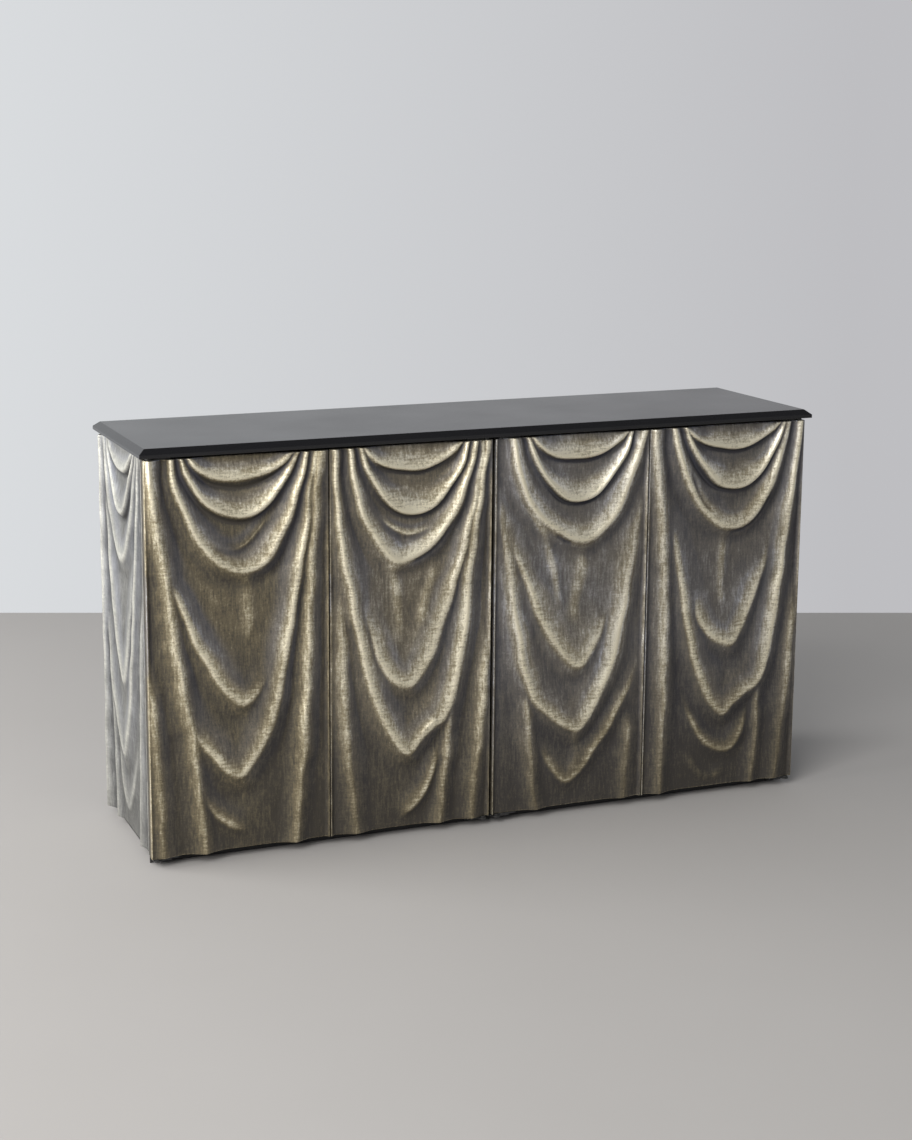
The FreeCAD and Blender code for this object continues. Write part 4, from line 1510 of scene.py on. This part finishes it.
@dataclass
class Slab:
    """The black top, with its sharp corners just broken."""

    node: str = "top_slab"
    bevel_width: float = 13.0 * MILLIMETRE
    bevel_height: float = 10.5 * MILLIMETRE
    corner_round: float = 0.9 * MILLIMETRE
    round_steps: int = 3
    corner_profile: float = 0.5

    def build(self) -> list[bpy.types.Object]:
        """Makes the slab as one closed mesh.

        Returns:
            The slab, standing for its solid.
        """
        low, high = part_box(self.node)
        shaped = bmesh.new()
        rings = []
        for inset, level in ((0.0, low.z), (0.0, high.z - self.bevel_height), (self.bevel_width, high.z)):
            corners = ((low.x + inset, low.y + inset), (high.x - inset, low.y + inset),
                       (high.x - inset, high.y - inset), (low.x + inset, high.y - inset))
            rings.append([shaped.verts.new((x, y, level)) for x, y in corners])
        shaped.faces.new(reversed(rings[0]))
        shaped.faces.new(rings[-1])
        for near, far in zip(rings[:-1], rings[1:]):
            for index in range(4):
                following = (index + 1) % 4
                shaped.faces.new((near[index], near[following], far[following], far[index]))
        bmesh.ops.bevel(shaped, geom=list(shaped.edges), offset=self.corner_round, segments=self.round_steps,
                        profile=self.corner_profile, affect="EDGES")
        mesh = bpy.data.meshes.new("slab")
        shaped.to_mesh(mesh)
        shaped.free()
        made = finished_object("slab", mesh, SLAB_LACQUER)
        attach(made, "carcass")
        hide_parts(self.node)
        return [made]


@dataclass
class Carcass:
    """The boards, plinth and fixed hardware, which keep their own shapes, and the screws in them."""

    finishes: dict[str, Finish] = field(default_factory=lambda: {
        "carcass_tenons": TENON_WOOD, "right_side_board": UPRIGHT_BOARD, "left_side_board": UPRIGHT_BOARD,
        "centre_partition": UPRIGHT_BOARD, "bottom_board": LENGTHWISE_BOARD, "sub_top": LENGTHWISE_BOARD,
        "right_back_panel": UPRIGHT_BOARD, "left_back_panel": UPRIGHT_BOARD, "right_shelf": LENGTHWISE_BOARD,
        "left_shelf": LENGTHWISE_BOARD, "right_shelf_cleats": DEEP_BOARD, "left_shelf_cleats": DEEP_BOARD,
        "plinth_front_rail": PLINTH_LACQUER, "plinth_back_rail": PLINTH_LACQUER,
        "plinth_left_rail": PLINTH_LACQUER, "plinth_right_rail": PLINTH_LACQUER,
        "plinth_glides": GLIDE_PLASTIC, "upper_pivots": BLACK_STEEL, "lower_pivots": BLACK_STEEL,
        "latch_housings": LATCH_PLASTIC,
    })
    back_screw_inset: float = 9.0 * MILLIMETRE
    back_screws_across: int = 6
    back_screws_down: int = 4
    back_screw_start: float = 130.0 * MILLIMETRE
    outer_pin: float = 739.0 * MILLIMETRE
    inner_pin: float = 16.0 * MILLIMETRE
    bracket_front: float = -157.0 * MILLIMETRE
    bracket_screw_level: float = 9.4 * MILLIMETRE
    bracket_screws: tuple[float, float] = (2.0 * MILLIMETRE, 22.0 * MILLIMETRE)
    bracket_head: tuple[float, float] = (3.0 * MILLIMETRE, 1.2 * MILLIMETRE)
    latch_places: tuple[float, float] = (332.5 * MILLIMETRE, 399.5 * MILLIMETRE)
    latch_screw_depth: float = -99.0 * MILLIMETRE
    latch_screw_level: float = 831.5 * MILLIMETRE
    latch_screw_offset: float = 11.0 * MILLIMETRE
    latch_head: tuple[float, float] = (2.8 * MILLIMETRE, 1.2 * MILLIMETRE)

    def build(self) -> list[bpy.types.Object]:
        """Dresses the solids and adds the screws of the back panels, pivot brackets and latch housings.

        Returns:
            The pieces that were added.
        """
        for node, finish in self.finishes.items():
            dressed(node, finish)
        rows = self.back_rows("left_back_panel") + self.back_rows("right_back_panel")
        rows += self.bracket_rows() + self.latch_rows()
        return [screws("carcass_screws", rows, "carcass")]

    def back_rows(self, node: str) -> list[ScrewRow]:
        """The screws along the four edges of a back panel.

        Args:
            node: The panel's node.

        Returns:
            The rows, with the corner screws in the level ones.
        """
        low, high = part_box(node)
        inset, start, backward = self.back_screw_inset, self.back_screw_start, Vector((0.0, 1.0, 0.0))
        left, right, bottom, top = low.x + inset, high.x - inset, low.z + inset, high.z - inset
        rows = []
        for z in (bottom, top):
            ends = Vector((left, high.y, z)), Vector((right, high.y, z))
            rows.append(ScrewRow(*ends, self.back_screws_across, backward))
        for x in (left, right):
            ends = Vector((x, high.y, bottom + start)), Vector((x, high.y, top - start))
            rows.append(ScrewRow(*ends, self.back_screws_down, backward))
        return rows

    def bracket_rows(self) -> list[ScrewRow]:
        """The two screws in front of each pivot bracket, on the side away from its neighbour.

        Returns:
            A row for each bracket, from left to right.
        """
        rows = []
        pins = ((-self.outer_pin, 1), (-self.inner_pin, -1), (self.inner_pin, 1), (self.outer_pin, -1))
        for pin, side in pins:
            places = (pin + side * away for away in self.bracket_screws)
            ends = (Vector((place, self.bracket_front, self.bracket_screw_level)) for place in places)
            rows.append(ScrewRow(*ends, 2, Vector((0.0, -1.0, 0.0)), *self.bracket_head))
        return rows

    def latch_rows(self) -> list[ScrewRow]:
        """The two screws under each latch housing.

        Returns:
            A row for each housing, from left to right.
        """
        rows = []
        near, far = self.latch_places
        for middle in (-far, -near, near, far):
            places = (middle - self.latch_screw_offset, middle + self.latch_screw_offset)
            ends = (Vector((place, self.latch_screw_depth, self.latch_screw_level)) for place in places)
            rows.append(ScrewRow(*ends, 2, Vector((0.0, 0.0, -1.0)), *self.latch_head))
        return rows


@dataclass
class SideSkin:
    """The draped skin on one end of the cabinet."""

    side: Side
    folds: Sequence[Fold]
    seed: int
    slate_shade_share: float = 0.7
    boldness: float = 1.15
    contrast: float = 0.9
    foot_shade: float = 0.04

    def build(self) -> list[bpy.types.Object]:
        """Drapes the skin in the box of that end's solid.

        Returns:
            The skin, standing for its solid.
        """
        node = f"{self.side.value}_side_skin"
        low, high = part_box(node)
        if self.side is Side.LEFT:
            corner, across, outward = (high.x, high.y, high.z), (0.0, -1.0, 0.0), (-1.0, 0.0, 0.0)
        else:
            corner, across, outward = (low.x, low.y, high.z), (0.0, 1.0, 0.0), (1.0, 0.0, 0.0)
        panel = DrapedPanel(
            name=f"{self.side.value}_end_drape", corner=Vector(corner), across=Vector(across),
            outward=Vector(outward), width=high.y - low.y, height=high.z - low.z,
            return_depth=DrapedPanel.edge_level, folds=self.folds, seed=self.seed, slate_shade_share=self.slate_shade_share,
            boldness=self.boldness, contrast=self.contrast, foot_shade=self.foot_shade, finish=END_BRASS_PAINTED_REFLECTION,
        )
        made = panel.build()
        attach(made, "carcass")
        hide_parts(node)
        return [made]


@dataclass
class Door:
    """One door: its board, draped skin, hinge leaves with their screws, strike plate and latch plunger."""

    name: str
    hinge: Side
    folds: Sequence[Fold]
    seed: int
    slate_shade_share: float = 1.0
    wash: float = 0.1
    brightness: float = 0.0
    foot_shade: float = 0.20
    leaf_screw_shares: tuple[float, float] = (0.50, 0.86)
    leaf_screw_radius: float = 3.2 * MILLIMETRE
    leaf_screw_height: float = 0.15 * MILLIMETRE

    def build(self) -> list[bpy.types.Object]:
        """Dresses the solids, which keep their shapes, and makes the skin and the screws.

        Returns:
            The skin and the screws.
        """
        body = f"{self.name}_door"
        dressed(f"{self.name}_door_board", UPRIGHT_BOARD)
        dressed(f"{self.name}_door_leaves", BLACK_STEEL)
        dressed(f"{self.name}_strike_plate", ZINC_STEEL)
        dressed(f"{self.name}_latch_plunger", LATCH_PLASTIC)
        node = f"{self.name}_door_skin"
        low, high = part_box(node)
        board_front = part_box(f"{self.name}_door_board")[0].y
        panel = DrapedPanel(
            name=f"{self.name}_drape", corner=Vector((low.x, board_front, high.z)),
            across=Vector((1.0, 0.0, 0.0)), outward=Vector((0.0, -1.0, 0.0)), width=high.x - low.x,
            height=high.z - low.z, return_depth=high.y - board_front + DrapedPanel.edge_level,
            folds=self.folds, seed=self.seed, slate_shade_share=self.slate_shade_share, wash=self.wash,
            brightness=self.brightness, foot_shade=self.foot_shade,
        )
        skin = panel.build()
        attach(skin, body)
        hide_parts(node)
        return [skin, screws(f"{self.name}_leaf_screws", self.leaf_rows(), body)]

    def leaf_rows(self) -> list[ScrewRow]:
        """The screws that stand nearly flush in the hinge leaves.

        Returns:
            A row over the top leaf and one under the bottom leaf.
        """
        low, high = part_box(f"{self.name}_door_leaves")
        middle = 0.5 * (low.y + high.y)
        pin, tip = (low.x, high.x) if self.hinge is Side.LEFT else (high.x, low.x)
        places = [pin + share * (tip - pin) for share in self.leaf_screw_shares]
        rows = []
        for level, upward in ((high.z, 1.0), (low.z, -1.0)):
            ends = (Vector((place, middle, level)) for place in places)
            up = Vector((0.0, 0.0, upward))
            rows.append(ScrewRow(*ends, 2, up, self.leaf_screw_radius, self.leaf_screw_height))
        return rows


@dataclass(frozen=True)
class Lamp:
    """One large soft lamp, turned towards a point."""

    name: str
    place: Place
    aim: Place
    size: float
    power: float
    colour: Colour

    def build(self) -> None:
        """Adds the lamp to the scene."""
        data = bpy.data.lights.new(self.name, "AREA")
        data.shape = "SQUARE"
        data.size = self.size
        data.energy = self.power
        data.color = self.colour
        made = bpy.data.objects.new(self.name, data)
        made.location = self.place
        made.rotation_euler = (Vector(self.aim) - Vector(self.place)).to_track_quat("-Z", "Y").to_euler()
        bpy.context.scene.collection.objects.link(made)


@dataclass
class Studio:
    """The plain floor, the soft light and the camera, which are not part of the cabinet.

    The backdrop's tone turns from one to the next towards the right, behind the camera and overhead. `aside`,
    `behind` and `ceiling` give the next tone's share across that direction, and how fast it grows along it.
    """

    camera_place: Place = (-1.6945, -3.9890, 1.5254)
    camera_turn: tuple[float, float, float] = (78.948, 0.0, -20.718)
    lens: float = 63.65
    sensor: float = 36.0
    shift: tuple[float, float] = (0.0677, -0.0603)
    floor_depth: float = 6.02
    floor_reach: float = 9.0
    floor_cuts: int = 8
    wall_left: Colour = (0.715, 0.735, 0.755)
    wall_right: Colour = (0.515, 0.515, 0.535)
    aside: tuple[float, float] = (0.5, 2.2)
    room_tone: Colour = (0.20, 0.20, 0.20)
    behind: tuple[float, float] = (0.15, -1.1)
    ceiling_tone: Colour = (0.05, 0.05, 0.052)
    ceiling: tuple[float, float] = (-1.008, 2.4)
    fill_tone: Colour = (0.95, 0.97, 1.0)
    fill_strength: float = 0.42
    lamps: tuple[Lamp, ...] = (
        Lamp("window_light", (-4.4, 0.9, 1.8), (-0.7, 0.0, 0.5), 3.2, 205.0, (1.0, 0.99, 0.97)),
        Lamp("front_light", (-4.6, -4.25, 4.1), (0.0, -0.2, 0.45), 4.2, 480.0, (1.0, 0.98, 0.95)),
    )

    def build(self) -> None:
        """Makes the floor, the world, the lamps and the camera."""
        self.build_floor()
        self.build_world()
        for lamp in self.lamps:
            lamp.build()
        self.build_camera()

    def heading(self) -> tuple[Vector, Vector]:
        """Finds the level directions of the camera's view.

        Returns:
            Straight ahead and to the right.
        """
        turn = math.radians(-self.camera_turn[2])
        forward = Vector((math.sin(turn), math.cos(turn), 0.0))
        return forward, Vector((forward.y, -forward.x, 0.0))

    def build_floor(self) -> None:
        """Makes a floor that ends where the backdrop's tone begins."""
        forward, right = self.heading()
        origin = Vector((self.camera_place[0], self.camera_place[1], 0.0))
        reach = self.floor_reach
        places = ((-reach, -reach), (-reach, reach), (self.floor_depth, reach), (self.floor_depth, -reach))
        shaped = bmesh.new()
        shaped.faces.new([shaped.verts.new(origin + forward * far + right * aside) for far, aside in places])
        bmesh.ops.subdivide_edges(shaped, edges=shaped.edges, cuts=self.floor_cuts, use_grid_fill=True)
        mesh = bpy.data.meshes.new("floor")
        shaped.to_mesh(mesh)
        shaped.free()
        finished_object("floor", mesh, GROUND)

    def build_world(self) -> None:
        """Makes soft light from all round, with pale tones for what is seen directly or in a reflection."""
        world = bpy.data.worlds.new("studio")
        bpy.context.scene.world = world
        world.use_nodes = True
        sheet = NodeSheet(world.node_tree)
        seen = sheet.node("ShaderNodeLightPath", {}, {}, "Is Camera Ray")
        for path in ("Is Glossy Ray", "Is Transmission Ray"):
            seen = seen + sheet.node("ShaderNodeLightPath", {}, {}, path)
        fill = {"Color": (*self.fill_tone, 1.0), "Strength": self.fill_strength}
        soft = sheet.node("ShaderNodeBackground", {}, fill)
        direction = sheet.node("ShaderNodeTexCoord", {}, {}, "Generated")
        forward, right = self.heading()
        tone = self.wall_left
        turns = (
            (right, self.aside, self.wall_right), (forward, self.behind, self.room_tone),
            (Vector((0.0, 0.0, 1.0)), self.ceiling, self.ceiling_tone),
        )
        for axis, (start, growth), beyond in turns:
            dot = {0: direction, 1: tuple(axis)}
            along = sheet.node("ShaderNodeVectorMath", {"operation": "DOT_PRODUCT"}, dot, "Value")
            tone = sheet.mixed((start + growth * along).clamped(), tone, beyond)
        wall = sheet.node("ShaderNodeBackground", {}, {"Color": tone, "Strength": 1.0})
        mixed = sheet.node("ShaderNodeMixShader", {}, {0: seen.clamped(), 1: soft, 2: wall})
        sheet.node("ShaderNodeOutputWorld", {}, {"Surface": mixed})

    def build_camera(self) -> None:
        """Makes the camera at the photograph's place, with the shift that its cropping needs."""
        data = bpy.data.cameras.new("camera")
        data.lens = self.lens
        data.sensor_width = self.sensor
        data.shift_x, data.shift_y = self.shift
        made = bpy.data.objects.new("camera", data)
        made.location = self.camera_place
        made.rotation_euler = tuple(math.radians(angle) for angle in self.camera_turn)
        bpy.context.scene.collection.objects.link(made)
        bpy.context.scene.camera = made
        bpy.context.scene.view_settings.view_transform = "Standard"


def main() -> None:
    """Builds every sub-assembly in order and reports each piece."""
    logging.basicConfig(level=logging.INFO, format="%(message)s")
    assemblies = (
        Slab(),
        Carcass(),
        SideSkin(Side.LEFT, SIDE_FOLDS, 5),
        SideSkin(Side.RIGHT, mirrored(SIDE_FOLDS), 6),
        Door("left_outer", Side.LEFT, LEFT_OUTER_FOLDS, 1,
             slate_shade_share=0.9, wash=0.08, brightness=0.00, foot_shade=0.31),
        Door("left_inner", Side.RIGHT, LEFT_INNER_FOLDS, 2,
             slate_shade_share=1.0, wash=0.40, brightness=0.12, foot_shade=0.42),
        Door("right_inner", Side.LEFT, RIGHT_INNER_FOLDS, 3,
             slate_shade_share=1.3, wash=0.90, brightness=0.19, foot_shade=0.57),
        Door("right_outer", Side.RIGHT, RIGHT_OUTER_FOLDS, 4,
             slate_shade_share=1.3, wash=0.80, brightness=0.06, foot_shade=0.51),
    )
    for assembly in assemblies:
        for piece in assembly.build():
            LOG.info("%s: %s, %d faces", type(assembly).__name__, piece.name, len(piece.data.polygons))
    Studio().build()


if __name__ == "__main__":
    main()
